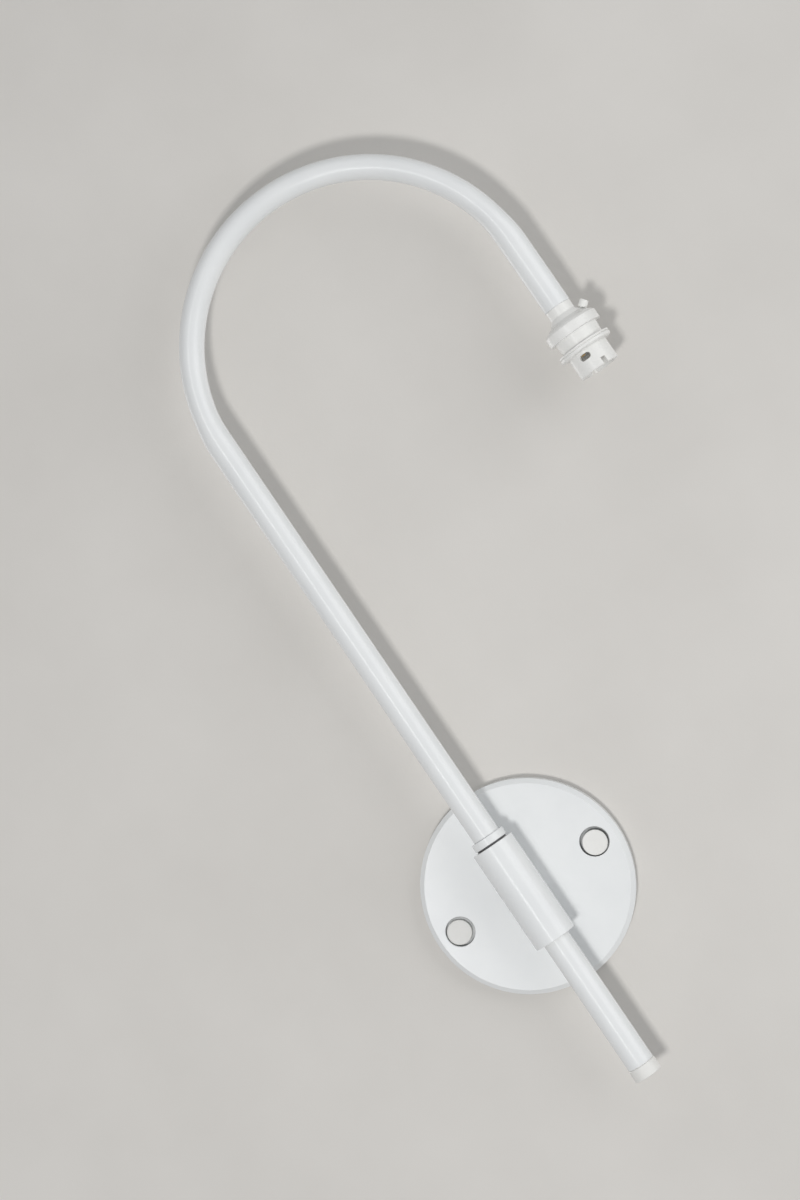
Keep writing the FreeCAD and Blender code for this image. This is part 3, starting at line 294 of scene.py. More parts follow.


# %% [markdown]
# ### Satin white paint
# The plate, sleeve, collar and tube are steel with a baked satin paint. Baked paint pulls itself almost
# level and leaves a skin of very shallow swells about a millimetre across, called orange peel, which makes
# the edge of a highlight waver. A few tiny dust nibs sit under the paint, and handling leaves the gloss
# slightly uneven. Two patterns carry the swells and the nibs, because a picture of paint would tile.
# Inside the plate's screw cups the colour is darkened to grey, as painted shade in the recesses.

# %% Satin white paint


def satin_paint(name, painted_shade=None):
    """Satin paint, darkened to grey as painted shade wherever the given pattern is 1."""
    paint = Finish(name)
    clouds = paint.noise(22, 4)
    full = paint.between(clouds, (0.775, 0.79, 0.795), (0.805, 0.818, 0.82))
    if painted_shade is not None:
        # This grey is painted shade inside the screw cups, not a colour of the paint.
        dull = paint.between(paint.noise(300, 3, centre=(4, 1, 3)), (0.40, 0.41, 0.41), (0.52, 0.53, 0.53))
        full = paint.over(painted_shade(paint), full, dull)
    paint.colour(full)
    paint.gloss(paint.noise(60, 3, centre=(3, 1, 2)), 0.18, 0.25)
    swell = paint.noise(700, 1.5)
    nibs = paint.node("ShaderNodeTexVoronoi", Scale=160, Randomness=1.0)
    paint.wire(paint.place, nibs.inputs["Vector"])
    nib = paint.node("ShaderNodeMapRange",
                     **{"From Min": 0.0, "From Max": 0.05, "To Min": 0.5, "To Max": 0.0})
    paint.wire(nibs.outputs["Distance"], nib.inputs["Value"])
    both = paint.node("ShaderNodeMath")
    both.operation = "ADD"
    paint.wire(swell, both.inputs[0]).wire(nib.outputs["Result"], both.inputs[1])
    paint.relief(both.outputs["Value"], 0.018 * mm)
    paint.fixed(Coat_Weight=0.12, Coat_Roughness=0.2, Specular_IOR_Level=0.5)
    return paint.material


screw_offset = 54.5 * mm
# Where the painted shade inside the screw cups starts and where it is full, across the cup and in depth.
shade_within, shade_ends = 10.3 * mm, 10.5 * mm
shade_starts, shade_full = -13.0 * mm, -11.5 * mm


def painted_cup_shade(paint):
    """Painted shade for the screw cups: 1 within a cup's radius of either screw axis and more than 1 to 2.5
    mm below the plate's face.
    """
    fold = paint.node("ShaderNodeVectorMath")
    fold.operation = "ABSOLUTE"
    shift = paint.node("ShaderNodeVectorMath")
    shift.operation = "SUBTRACT"
    shift.inputs[1].default_value = (screw_offset, 0, 0)
    flatten = paint.node("ShaderNodeVectorMath")
    flatten.operation = "MULTIPLY"
    flatten.inputs[1].default_value = (1, 0, 1)
    far = paint.node("ShaderNodeVectorMath")
    far.operation = "LENGTH"
    paint.wire(paint.place, fold.inputs[0]).wire(fold.outputs["Vector"], shift.inputs[0])
    paint.wire(shift.outputs["Vector"], flatten.inputs[0]).wire(flatten.outputs["Vector"], far.inputs[0])
    near = paint.node("ShaderNodeMapRange", **{"From Min": shade_within, "From Max": shade_ends,
                                               "To Min": 1.0, "To Max": 0.0})
    split = paint.node("ShaderNodeSeparateXYZ")
    deep = paint.node("ShaderNodeMapRange", **{"From Min": shade_starts, "From Max": shade_full,
                                               "To Min": 0.0, "To Max": 1.0})
    paint.wire(far.outputs["Value"], near.inputs["Value"])
    paint.wire(paint.place, split.inputs["Vector"]).wire(split.outputs["Y"], deep.inputs["Value"])
    both = paint.node("ShaderNodeMath")
    both.operation = "MULTIPLY"
    paint.wire(near.outputs["Result"], both.inputs[0]).wire(deep.outputs["Result"], both.inputs[1])
    return both.outputs["Value"]


white_paint = satin_paint("satin_white_paint")
# The plate's paint carries painted shade in its screw cups.
plate_paint_with_painted_shade = satin_paint("satin_white_plate_paint_painted_cup_shade", painted_cup_shade)

# %% [markdown]
# ### Moulded plastics
# The lampholder is a hard white moulding with a warmer white than the paint and a smoother skin. The caps
# over the screws and the tube's end cap are a softer plastic with a fine spark-eroded matt. Moulding leaves
# faint flow lines, so the pattern is stretched along the direction in which the plastic ran.

# %% Moulded plastics


def moulded(name, dull, bright, gloss_low, gloss_high, grain, height, stretch=(1, 1, 1), body=0.0):
    plastic = Finish(name)
    flow = plastic.noise(55, 4, stretch=stretch)
    plastic.colour(plastic.between(flow, dull, bright))
    plastic.gloss(plastic.noise(140, 2, centre=(1, 2, 3)), gloss_low, gloss_high)
    plastic.relief(plastic.noise(grain, 2, centre=(2, 3, 1)), height)
    plastic.fixed(Subsurface_Weight=body, Subsurface_Scale=0.001, Subsurface_Radius=(1.0, 0.9, 0.8))
    return plastic.material


holder_plastic = moulded("hard_white_moulding", (0.80, 0.798, 0.775), (0.83, 0.828, 0.81),
                         0.24, 0.33, 900, 0.008 * mm, stretch=(1, 1, 0.2))
cap_plastic = moulded("matt_cap_plastic", (0.765, 0.76, 0.735), (0.80, 0.796, 0.775),
                      0.44, 0.54, 3200, 0.012 * mm)
nylon = moulded("milky_nylon", (0.70, 0.68, 0.61), (0.76, 0.745, 0.68), 0.38, 0.48, 1500, 0.01 * mm,
                stretch=(1, 1, 0.3), body=0.25)
# The thrust washer is made near black so that the gap under the collar reads as a dark line: painted shade.
nylon_made_dark_as_painted_shade = moulded("nylon_made_dark_as_painted_shade", (0.085, 0.085, 0.09), (0.12, 0.12, 0.125), 0.4, 0.5, 1500, 0.01 * mm)
block_plastic = moulded("milky_block_plastic", (0.74, 0.76, 0.75), (0.80, 0.82, 0.81), 0.28, 0.38, 1200,
                        0.01 * mm, stretch=(0.3, 1, 1), body=0.3)
insert_plastic = moulded("grey_insert_moulding", (0.30, 0.30, 0.295), (0.36, 0.36, 0.35), 0.42, 0.55, 2200,
                         0.015 * mm)

# %% [markdown]
# ### Brass, zinc and spring steel
# The nipples, contacts and terminals are turned brass: the tool leaves rings round the axis, and finger
# marks tarnish it unevenly. Nuts, washers and screws are zinc plated, which looks bluish white with a
# faint yellow bloom. Spring wire keeps the fine drawing lines along its length.

# %% Metals


def metal(name, dark, bright, gloss_low, gloss_high, stretch, grain=2600, height=0.01 * mm, bloom=None):
    bare = Finish(name)
    tone = bare.between(bare.noise(260, 4), dark, bright)
    if bloom is not None:
        patches = bare.between(bare.noise(180, 3, centre=(5, 2, 4)), (0, 0, 0), (0.5, 0.5, 0.5), 0.5, 0.7)
        flat = bare.node("ShaderNodeRGB")
        flat.outputs[0].default_value = (*bloom, 1)
        tone = bare.over(patches, tone, flat.outputs[0])
    bare.colour(tone)
    bare.gloss(bare.noise(420, 3, centre=(1, 4, 2)), gloss_low, gloss_high)
    bare.relief(bare.noise(grain, 2, stretch=stretch), height)
    bare.fixed(Metallic=1.0)
    return bare.material


turned_brass = metal("turned_brass", (0.60, 0.40, 0.16), (0.80, 0.60, 0.30), 0.22, 0.38, (0.15, 0.15, 1.6))
wall_brass = metal("turned_brass_sideways", (0.60, 0.40, 0.16), (0.80, 0.60, 0.30), 0.22, 0.38,
                   (0.15, 1.6, 0.15))
zinc_plate = metal("zinc_plate", (0.46, 0.48, 0.50), (0.68, 0.70, 0.72), 0.26, 0.42, (1, 1, 1), 1800,
                   0.012 * mm, bloom=(0.70, 0.66, 0.50))
spring_wire = metal("drawn_spring_wire", (0.40, 0.40, 0.39), (0.58, 0.57, 0.55), 0.25, 0.38, (0.3, 0.3, 2.0))

# %% [markdown]
# ### Cable covers
# The flex has a white PVC sheath, and its cores are brown, blue, and green with a yellow stripe. The sheath
# shows the twist of the cores under it as soft swells. The earth core's two colours each take half of its
# round surface, so the pattern asks on which side of the wire's own plane a point lies.

# %% Cable covers


def vinyl(name, dull, bright, height=0.02 * mm, grain=500):
    skin = Finish(name)
    skin.colour(skin.between(skin.noise(190, 3), dull, bright))
    skin.gloss(skin.noise(300, 2, centre=(2, 2, 5)), 0.34, 0.46)
    skin.relief(skin.noise(grain, 2, stretch=(1, 1, 0.35)), height)
    return skin.material


def striped_vinyl(name, plane_point, plane_normal):
    """Green on one side of a plane through the wire, yellow on the other."""
    skin = Finish(name)
    lean = skin.node("ShaderNodeVectorMath")
    lean.operation = "SUBTRACT"
    lean.inputs[1].default_value = plane_point
    side = skin.node("ShaderNodeVectorMath")
    side.operation = "DOT_PRODUCT"
    side.inputs[1].default_value = plane_normal
    skin.wire(skin.place, lean.inputs[0]).wire(lean.outputs["Vector"], side.inputs[0])
    edge = skin.node("ShaderNodeMapRange",
                     **{"From Min": 0.15 * mm, "From Max": 0.25 * mm, "To Min": 0.0, "To Max": 1.0})
    skin.wire(side.outputs["Value"], edge.inputs["Value"])
    green = skin.between(skin.noise(190, 3), (0.03, 0.24, 0.06), (0.04, 0.30, 0.08))
    yellow = skin.between(skin.noise(170, 3), (0.72, 0.55, 0.04), (0.80, 0.62, 0.06))
    skin.colour(skin.over(edge.outputs["Result"], green, yellow))
    skin.gloss(skin.noise(300, 2), 0.34, 0.46)
    skin.relief(skin.noise(500, 2), 0.02 * mm)
    return skin.material


white_sheath = vinyl("white_flex_sheath", (0.70, 0.70, 0.68), (0.78, 0.78, 0.76), 0.08 * mm, 160)
brown_core = vinyl("brown_core", (0.13, 0.052, 0.024), (0.17, 0.07, 0.034))
blue_core = vinyl("blue_core", (0.018, 0.10, 0.36), (0.03, 0.14, 0.44))
earth_core_plate = striped_vinyl("earth_core_plate", (0, 0, 0), (1, 0, 0))
earth_core_holder = striped_vinyl("earth_core_holder", tuple(holder), (1, 0, 0))
earth_core_link = striped_vinyl("earth_core_link", tuple(middle("earth_link")), (0, 1, 0))


def dress(piece, body, finish, slot, *nodes):
    """Give a new piece its finish and its body, hide the CAD nodes that it stands for, and say so; the slot
    is not used.
    """
    piece.data.materials.append(finish)
    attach(piece, body)
    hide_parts(*nodes)
    print(f"{piece.name}: {len(piece.data.polygons)} faces for {', '.join(nodes)}")
    return piece


# %% [markdown]
# ## The backplate
# The plate is a pressed steel dish with a turned-over rim, and two stepped cups are drawn into it so that
# the screw heads sit below its face. It could be a flat disc with a boolean cut for each cup, but a cut
# leaves hard edges. Here every round part is an outline turned about its own axis: the rim about the
# plate's centre, each cup about its own centre and the nipple's hole about the middle. The flat areas
# between these rings are then filled with triangles that lie in one plane, so they stay perfectly flat.

# %% The backplate
plate_r = plate_high.x
plate_depth = -plate_low.y
plate_wall = 2.0 * mm
chamfer = 3.2 * mm
inner_chamfer = chamfer + plate_wall * math.tan(math.radians(22.5))
inside = plate_depth - plate_wall
cup_r = 10.1 * mm
cup_foot_r = 6.5 * mm
cup_ledge = plate_depth - 6.0 * mm
cup_wall = 1.6 * mm
cup_floor = 2.0 * mm
screw_hole_r = 2.75 * mm
nipple_hole_r = 5.0 * mm
out_of_wall = (0, -1, 0)


def make_backplate():
    rim = softened([
        (plate_r - inner_chamfer - 0.6 * mm, plate_depth), (plate_r - chamfer, plate_depth),
        (plate_r, plate_depth - chamfer), (plate_r, 0), (plate_r - plate_wall, 0),
        (plate_r - plate_wall, plate_depth - inner_chamfer), (plate_r - inner_chamfer, inside),
        (plate_r - inner_chamfer - 0.6 * mm, inside),
    ], 0.35 * mm, closed=False)
    cup = softened([
        (cup_r + 0.9 * mm, plate_depth), (cup_r, plate_depth), (cup_r, cup_ledge), (cup_foot_r, cup_ledge),
        (cup_foot_r, cup_floor), (screw_hole_r, cup_floor), (screw_hole_r, 0), (cup_foot_r + cup_wall, 0),
        (cup_foot_r + cup_wall, cup_ledge - cup_wall), (cup_r + cup_wall, cup_ledge - cup_wall),
        (cup_r + cup_wall, inside), (cup_r + cup_wall + 0.6 * mm, inside),
    ], 0.4 * mm, closed=False)
    hole = softened([
        (nipple_hole_r + 0.9 * mm, plate_depth), (nipple_hole_r, plate_depth), (nipple_hole_r, inside),
        (nipple_hole_r + 0.9 * mm, inside),
    ], 0.3 * mm, closed=False)
    grids = [turned(rim, (0, 0, 0), out_of_wall, 192), turned(hole, (0, 0, 0), out_of_wall, 48)]
    grids += [turned(cup, (side * screw_offset, 0, 0), out_of_wall, 96) for side in (-1, 1)]
    points, faces = several(grids, False)
    return built("pressed_backplate", points, faces, fill_planes=(-plate_depth, -inside))


dress(make_backplate(), "wall_plate", plate_paint_with_painted_shade, "powder_coat", "backplate")

# %% [markdown]
# ## The caps over the screws
# Each screw is hidden by a push-in plastic cap: a disc with a short tubular stem. The disc has a soft edge
# and a very shallow dimple in its middle, where the thicker plastic over the stem shrank as it cooled.
# The outline dips there by a tenth of a millimetre, enough to bend the highlight.

# %% The caps over the screws


def make_screw_cap(name, node):
    low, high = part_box(node)
    disc_r = (high.x - low.x) / 2
    length = high.y - low.y
    disc, stem_r, stem_wall, dimple = 2.5 * mm, 4.5 * mm, 1.2 * mm, 0.12 * mm
    outline = softened([
        (0, length - disc), (stem_r - stem_wall, length - disc), (stem_r - stem_wall, 0), (stem_r, 0),
        (stem_r, length - disc), (disc_r, length - disc), (disc_r, length), (0, length),
    ], [0, 0.2 * mm, 0.2 * mm, 0.2 * mm, 0.3 * mm, 0.3 * mm, 0.55 * mm, 0], closed=False)
    face = np.linspace(disc_r - 1.2 * mm, 0, 24)
    front = np.stack([face, length - dimple * np.exp(-(face / (3.2 * mm)) ** 2)], axis=1)
    outline = np.concatenate([outline[:-1], front])
    foot = ((low.x + high.x) / 2, high.y, (low.z + high.z) / 2)
    return turned_piece(name, outline, foot, out_of_wall, 72)


for side in ("left", "right"):
    cap = make_screw_cap(f"push_in_cap_{side}", f"screw_cap_{side}")
    dress(cap, f"screw_cap_{side}", cap_plastic, "cap_plastic", f"screw_cap_{side}")

# %% [markdown]
# ## Sleeve, boss, collar and end cap
# These are turned parts, so an outline and an axis say everything about them. The boss is the exception:
# its outer end is hollowed to sit on the round sleeve. Its length therefore depends on how far a point is
# to the side of the middle: the sleeve's surface lies at sqrt(R^2 - x^2) from the swivel axis. The collar
# and the end cap have a small groove where they meet the tube, which shows as a thin dark line.

# %% Sleeve, boss, collar and end cap
sleeve_r = (sleeve_high[0] - sleeve_low[0]) / 2
sleeve_length = sleeve_high[2] - sleeve_low[2]
sleeve_bore = sleeve_r - 3.0 * mm
sleeve = turned_piece("turned_sleeve", softened([
    (sleeve_bore, 0), (sleeve_r, 0), (sleeve_r, sleeve_length), (sleeve_bore, sleeve_length),
], 0.45 * mm), (swivel[0], swivel[1], sleeve_low[2]), columns=144)
dress(sleeve, "wall_plate", white_paint, "powder_coat", "sleeve")


def make_boss():
    """Turned about the wall's normal, with its height stretched so that height 1 lies on the sleeve."""
    radius, thickness = 11.0 * mm, 6.0 * mm
    outline = softened([
        (nipple_hole_r, 0), (radius, 0), (radius, thickness), (nipple_hole_r, thickness),
    ], 0.25 * mm)
    grid = turned(outline, (0, -plate_depth, 0), out_of_wall, 96)
    saddle = -swivel[1] - plate_depth - np.sqrt((sleeve_r + 0.03 * mm) ** 2 - grid[..., 0] ** 2)
    share = (-plate_depth - grid[..., 1]) / thickness
    grid[..., 1] = -plate_depth - share * saddle
    return built("saddle_boss", *several([grid], True))


dress(make_boss(), "wall_plate", white_paint, "powder_coat", "standoff_boss")

collar_low, collar_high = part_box("stop_collar")
collar_r = (collar_high.x - collar_low.x) / 2
collar_height = collar_high.z - collar_low.z
tube_r = 9.5 * mm
collar_bore = tube_r + 0.03 * mm
groove = 0.6 * mm
collar = turned_piece("turned_collar", softened([
    (collar_bore, 0), (collar_r, 0), (collar_r, collar_height), (collar_bore + groove, collar_height),
    (collar_bore, collar_height - 2 * groove),
], [0.1 * mm, 0.3 * mm, 0.3 * mm, 0.1 * mm, 0.1 * mm]), (swivel[0], swivel[1], collar_low.z), columns=120)
dress(collar, "arm", white_paint, "powder_coat", "stop_collar")

tail_low, tail_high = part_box("tail_cap")
tail_r = (tail_high.x - tail_low.x) / 2
tail_head = 9.0 * mm
spigot_r = 7.97 * mm
tail_length = tail_high.z - tail_low.z
tail_cap = turned_piece("push_in_tail_cap", softened([
    (0, 0), (tail_r, 0), (tail_r, tail_head - groove), (tail_r - 1.4 * groove, tail_head),
    (spigot_r, tail_head), (spigot_r, tail_length), (0, tail_length),
], [0, 0.6 * mm, 0.15 * mm, 0.1 * mm, 0.1 * mm, 0.6 * mm, 0], closed=False),
    (swivel[0], swivel[1], tail_low.z))
dress(tail_cap, "arm", cap_plastic, "cap_plastic", "tail_cap")

# %% [markdown]
# ## The bent tube
# The arm is one steel tube, bent cold round a former. Bending presses it slightly oval: it gets narrower in
# the plane of the bend and wider across it. A curve with a round bevel can't do that, so the surface is a
# ring carried along the path, and the ring's two half widths change smoothly where the bend begins and ends.
# Cells of the grid are left out where the swivel slot is, and Solidify then gives the wall its thickness.
# The faces have to point outwards before that, or the wall grows on the outside and the tube gets too thick.

# %% The bent tube
tube_wall = 1.5 * mm
bend_r = (holder[0] - swivel[0]) / 2
bend_height = 356.65 * mm
tube_end = neck_top
oval_in, oval_out = 0.95 * mm, 0.6 * mm
ease_angle = math.radians(12)
slot_half_height = 5.5 * mm
slot_from, slot_to = math.radians(51), math.radians(309)


def tube_path():
    """How far along each row is: z on the long leg, angle round the bend, z on the short leg."""
    def run(start, end, count):
        return np.linspace(start, end, count, endpoint=False)
    low = tube_low.z
    long_leg = np.concatenate([run(low, -slot_half_height, 40), run(-slot_half_height, slot_half_height, 6),
                               run(slot_half_height, bend_height, 90)])
    bend = run(0, math.pi, 150)
    short_leg = np.linspace(bend_height, tube_end, 20)
    height = np.concatenate([long_leg, bend_height + bend_r * np.sin(bend), short_leg])
    along = np.concatenate([np.zeros(long_leg.size), bend, np.full(short_leg.size, math.pi)])
    return along, height, swivel[0] + bend_r * (1 - np.cos(along))


def make_arm_tube():
    """centre + in-plane half width * cos a * outwards + crosswise half width * sin a * Y, for each row."""
    along, height, sideways = tube_path()
    share = np.clip(np.minimum(along, math.pi - along) / ease_angle, 0, 1)
    eased = share * share * (3 - 2 * share)
    columns = 120
    angle = np.arange(columns) * full_turn / columns
    outwards = np.stack([np.cos(along), np.zeros_like(along), -np.sin(along)], axis=1)
    centre = np.stack([sideways, np.full_like(along, swivel[1]), height], axis=1)
    in_plane = (tube_r - oval_in * eased)[:, None, None] * np.cos(angle)[None, :, None] * outwards[:, None]
    across = (tube_r + oval_out * eased)[:, None] * np.sin(angle)[None, :]
    points = centre[:, None] + in_plane
    points[..., 1] += across
    faces = grid_faces(*points.shape[:2], False)
    row, column = faces[:, 0] // columns, faces[:, 0] % columns
    row_middle = (height[row] + height[np.minimum(row + 1, height.size - 1)]) / 2
    face_angle = (column + 0.5) * full_turn / columns
    in_slot = ((np.abs(row_middle) < slot_half_height) & (along[row] == 0)
               & (face_angle > slot_from) & (face_angle < slot_to))
    tube = built("bent_arm_tube", points, faces[~in_slot], crease=60, recalculate=False)
    wall = tube.modifiers.new("wall", "SOLIDIFY")
    wall.thickness = tube_wall
    wall.offset = -1
    ends = tube.modifiers.new("softened_ends", "BEVEL")
    ends.limit_method = "ANGLE"
    ends.angle_limit = math.radians(60)
    ends.width = 0.3 * mm
    ends.segments = 3
    return tube


dress(make_arm_tube(), "arm", white_paint, "powder_coat", "arm_tube")

# %% [markdown]
# ## The lampholder's cap
# The cap screws on to the tube's nipple. From the top down it has a short neck, a cone, a wide flange and a
# hood. It is thin-walled and moulded, so its inside is part of the same closed outline as its outside.

# %% The lampholder's cap
hang_down = (0, 0, -1)
holder_foot = (holder[0], holder[1], neck_top)


def from_millimetres(rows):
    """Corner pairs typed in millimetres, in metres."""
    return np.array(rows, float) * mm


cap_outline = from_millimetres([
    (5.0, 0), (9.2, 0), (9.2, 6.3), (11.9, 9.9), (17.6, 13.2), (19.15, 14.75), (19.15, 21.1), (15.85, 21.1),
    (15.0, 29.8), (14.28, 29.8), (14.28, 19.9), (17.35, 19.9), (17.35, 15.2), (16.7, 14.73), (11.0, 11.43),
    (8.6, 8.5), (5.0, 8.5),
])
cap_soft = [0.3, 0.3, 0.8, 0.5, 0.7, 0.7, 0.5, 0.4, 0.25, 0.2, 0.3, 0.3, 0.3, 0.3, 0.3, 0.3, 0.3]
holder_cap = turned_piece("moulded_holder_cap", softened(cap_outline, np.array(cap_soft) * mm),
                          holder_foot, hang_down, 144)
dress(holder_cap, "arm", holder_plastic, "holder_white", "lampholder_cap")

# %% [markdown]
# ## The ring that clamps a shade
# The ring screws up and down the skirt and clamps a shade against the hood. Its rim has a groove turned
# into it, so it reads as two thin flanges, and its underside falls away in a shallow cone. It is turned
# from an outline, because the groove's soft edges then run evenly all the way round.

# %% The ring that clamps a shade
ring_low, ring_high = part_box("shade_ring")
ring_r = (ring_high.x - ring_low.x) / 2
ring_bore = 14.32 * mm
ring_outline = np.array([
    (ring_bore, 0), (ring_r, 0), (ring_r, 1.1 * mm), (ring_r - 0.8 * mm, 1.35 * mm),
    (ring_r - 0.8 * mm, 1.62 * mm), (ring_r, 1.9 * mm), (ring_r, 3.42 * mm), (ring_r - 0.5 * mm, 3.87 * mm),
    (ring_r - 2 * mm, 4.5 * mm), (ring_bore, 4.5 * mm),
])
shade_ring = turned_piece("moulded_shade_ring", softened(ring_outline, 0.25 * mm),
                          (holder[0], holder[1], ring_high.z), hang_down, 180)
dress(shade_ring, "shade_ring", holder_plastic, "holder_white", "shade_ring")

# %% [markdown]
# ## Cut parts with softened edges
# The skirt has two bayonet ways cut through it, the contact insert has pockets, and the terminal block has
# bores. Their CAD shapes are right but razor sharp. A copy of such a mesh is merged into one skin, its
# flat triangles are joined to whole faces, and a Bevel rounds every edge that is sharper than 30 degrees.

# %% Softened copies of cut parts


def softened_copy(name, node, width, segments=2):
    """A merged copy of a CAD node's mesh with a small radius on its sharp edges."""
    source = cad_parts[node].data
    points = np.empty(len(source.vertices) * 3)
    source.vertices.foreach_get("co", points)
    mesh = bpy.data.meshes.new(name)
    mesh.from_pydata(points.reshape(-1, 3).tolist(), [], [list(face.vertices) for face in source.polygons])
    skin = bmesh.new()
    skin.from_mesh(mesh)
    bmesh.ops.remove_doubles(skin, verts=skin.verts, dist=1e-6)
    bmesh.ops.dissolve_limit(skin, angle_limit=math.radians(0.5), verts=skin.verts, edges=skin.edges)
    skin.to_mesh(mesh)
    skin.free()
    mesh.shade_smooth()
    mesh.set_sharp_from_angle(angle=math.radians(30))
    piece = bpy.data.objects.new(name, mesh)
    bpy.context.scene.collection.objects.link(piece)
    edge = piece.modifiers.new("softened_edges", "BEVEL")
    edge.limit_method = "ANGLE"
    edge.angle_limit = math.radians(30)
    edge.width = width
    edge.segments = segments
    edge.harden_normals = True
    return piece


dress(softened_copy("bayonet_skirt", "lampholder_skirt", 0.18 * mm), "arm", holder_plastic, "holder_white",
      "lampholder_skirt")
dress(softened_copy("moulded_contact_insert", "contact_insert", 0.15 * mm), "arm", insert_plastic,
      "insert_plastic", "contact_insert")
dress(softened_copy("moulded_terminal_block", "terminal_block", 0.3 * mm, 3), "wall_plate", block_plastic,
      "block_plastic", "terminal_block")
dress(softened_copy("crimped_earth_tag", "earth_tag", 0.08 * mm), "wall_plate", zinc_plate, "zinc_steel",
      "earth_tag")
for side in ("left", "right", "earth"):
    node = f"holder_terminal_{side}"
    dress(softened_copy(f"brass_{node}", node, 0.2 * mm), "arm", turned_brass, "brass", node)
dress(softened_copy("brass_terminal_barrels", "terminal_barrels", 0.15 * mm), "wall_plate", turned_brass,
      "brass", "terminal_barrels")

# %% [markdown]
# ## Screw threads
# The two nipples and the earth stud are threaded all along. A thread is a ridge that climbs by one pitch in
# each turn, so the radius depends on height and angle together: it is lowest where height / pitch minus
# angle / full turn is a whole number. The ridge fades out at both ends, as a cut thread does.

# %% Screw threads


def threaded(name, radius, bore, length, pitch, foot, direction=(0, 0, 1), columns=48):
    """radius - depth * (1 + cos(full turn * (height / pitch - angle / full turn))) / 2, faded at the ends."""
    rows = max(24, int(length / pitch * 10))
    height = np.linspace(0, length, rows)
    side, front, along = axes_for(direction)
    angle = np.arange(columns) * full_turn / columns
    fade = np.clip(np.minimum(height, length - height) / (0.7 * pitch), 0, 1)[:, None]
    depth = 0.55 * pitch
    wave = (1 + np.cos(full_turn * (height[:, None] / pitch - angle[None, :] / full_turn))) / 2
    outer = radius - depth * (0.55 * (1 - fade) + wave * fade)
    closing = np.full((1, columns), bore)
    ring = np.concatenate([closing, outer, closing])
    lift = np.concatenate([[0], height, [length]])
    spokes = np.cos(angle)[:, None] * side + np.sin(angle)[:, None] * front
    grid = np.asarray(foot) + ring[..., None] * spokes + lift[:, None, None] * along
    return built(name, *several([grid], bore > 0), crease=50)


nipple_r, nipple_bore, nipple_pitch = 4.95 * mm, 3.5 * mm, 1.0 * mm
nipple_low, nipple_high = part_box("hollow_nipple")
dress(threaded("threaded_hollow_nipple", nipple_r, nipple_bore, nipple_high.y - nipple_low.y, nipple_pitch,
               (0, nipple_high.y, 0), out_of_wall), "wall_plate", wall_brass, "brass", "hollow_nipple")
nipple_low, nipple_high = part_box("holder_nipple")
dress(threaded("threaded_holder_nipple", nipple_r, nipple_bore, nipple_high.z - nipple_low.z, nipple_pitch,
               (holder[0], holder[1], nipple_low.z)), "arm", turned_brass, "brass", "holder_nipple")
stud_low, stud_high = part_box("earth_stud")
stud_centre = middle("earth_stud")
dress(threaded("threaded_earth_stud", 2.0 * mm, 0, stud_high.y - stud_low.y, 0.7 * mm,
               (stud_centre[0], stud_low.y, stud_centre[2]), (0, 1, 0)), "wall_plate", zinc_plate,
      "zinc_steel", "earth_stud")

# %% [markdown]
# ## Nuts, the toothed washer and the grub screw
# A nut is a turned outline whose radius changes with the angle: across a flat, the radius is the flat's
# distance divided by the cosine of the angle from its middle. The chamfer that every nut has comes from
# limiting that radius near both faces. The washer's teeth are a wave in the radius, and each tooth is
# twisted, so its height tilts with the wave. The grub screw's socket is a hexagon on the inside.

# %% Nuts, the toothed washer and the grub screw


def from_flat(angle):
    """How far an angle is from the middle of the nearest of six flats."""
    return np.mod(angle + math.pi / 6, math.pi / 3) - math.pi / 6


def hexagon(flats):
    """A rule for the radius: a hexagon of a size across the flats, up to the outline's own radius."""
    def rule(radius, angle):
        flat = flats / 2 / np.cos(from_flat(angle))
        return np.where(radius > flats / 2 * 0.98, np.minimum(radius, flat), radius)
    return rule


def make_nut(name, node, flats, hole):
    low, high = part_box(node)
    height = high.y - low.y
    corner = flats / 2 / math.cos(math.pi / 6)
    outline = np.array([
        (hole, 0.15 * height), (hole * 1.12, 0), (flats * 0.49, 0), (flats * 0.5, 0.0),
        (corner * 0.97, 0.1 * height), (corner, 0.16 * height), (corner, 0.84 * height),
        (corner * 0.97, 0.9 * height), (flats * 0.5, height), (flats * 0.49, height), (hole * 1.12, height),
        (hole, 0.85 * height),
    ])
    foot = ((low.x + high.x) / 2, high.y, (low.z + high.z) / 2)
    return turned_piece(name, outline, foot, out_of_wall, 96, hexagon(flats), crease=25)


dress(make_nut("hexagon_lock_nut", "lock_nut", 14 * mm, 4.9 * mm), "wall_plate", wall_brass, "brass",
      "lock_nut")
dress(make_nut("hexagon_earth_nut", "earth_nut", 7 * mm, 2.0 * mm), "wall_plate", zinc_plate, "zinc_steel",
      "earth_nut")


def make_tooth_washer():
    """Twelve teeth: the radius dips between them, and their height leans from one flank to the other."""
    low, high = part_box("tooth_washer")
    thickness = high.y - low.y
    teeth, columns = 12, 12 * 16
    outer = (high.x - low.x) / 2
    angle = np.arange(columns) * full_turn / columns
    wave = np.clip(1.6 * np.cos(angle * teeth) + 0.5, 0, 1)
    root = outer * 0.83
    share = np.array([0, 0.55, 1.0, 1.0, 0.55, 0])[:, None]
    side_up = np.array([0.3, 0.3, 0.3, 0.7, 0.7, 0.7])[:, None]
    hole = 5.0 * mm
    reach = np.where(share > 0.6, root + (outer - root) * wave, hole + (root - hole) * share / 0.55)
    lean = 0.28 * np.sin(angle * teeth)[None, :] * (share > 0.6)
    height = thickness * (side_up + lean)
    x = reach * np.cos(angle)
    z = reach * np.sin(angle)
    grid = np.stack([x, high.y - height, z], axis=-1)
    return built("toothed_washer", *several([grid], True), crease=35)


dress(make_tooth_washer(), "wall_plate", zinc_plate, "zinc_steel", "tooth_washer")


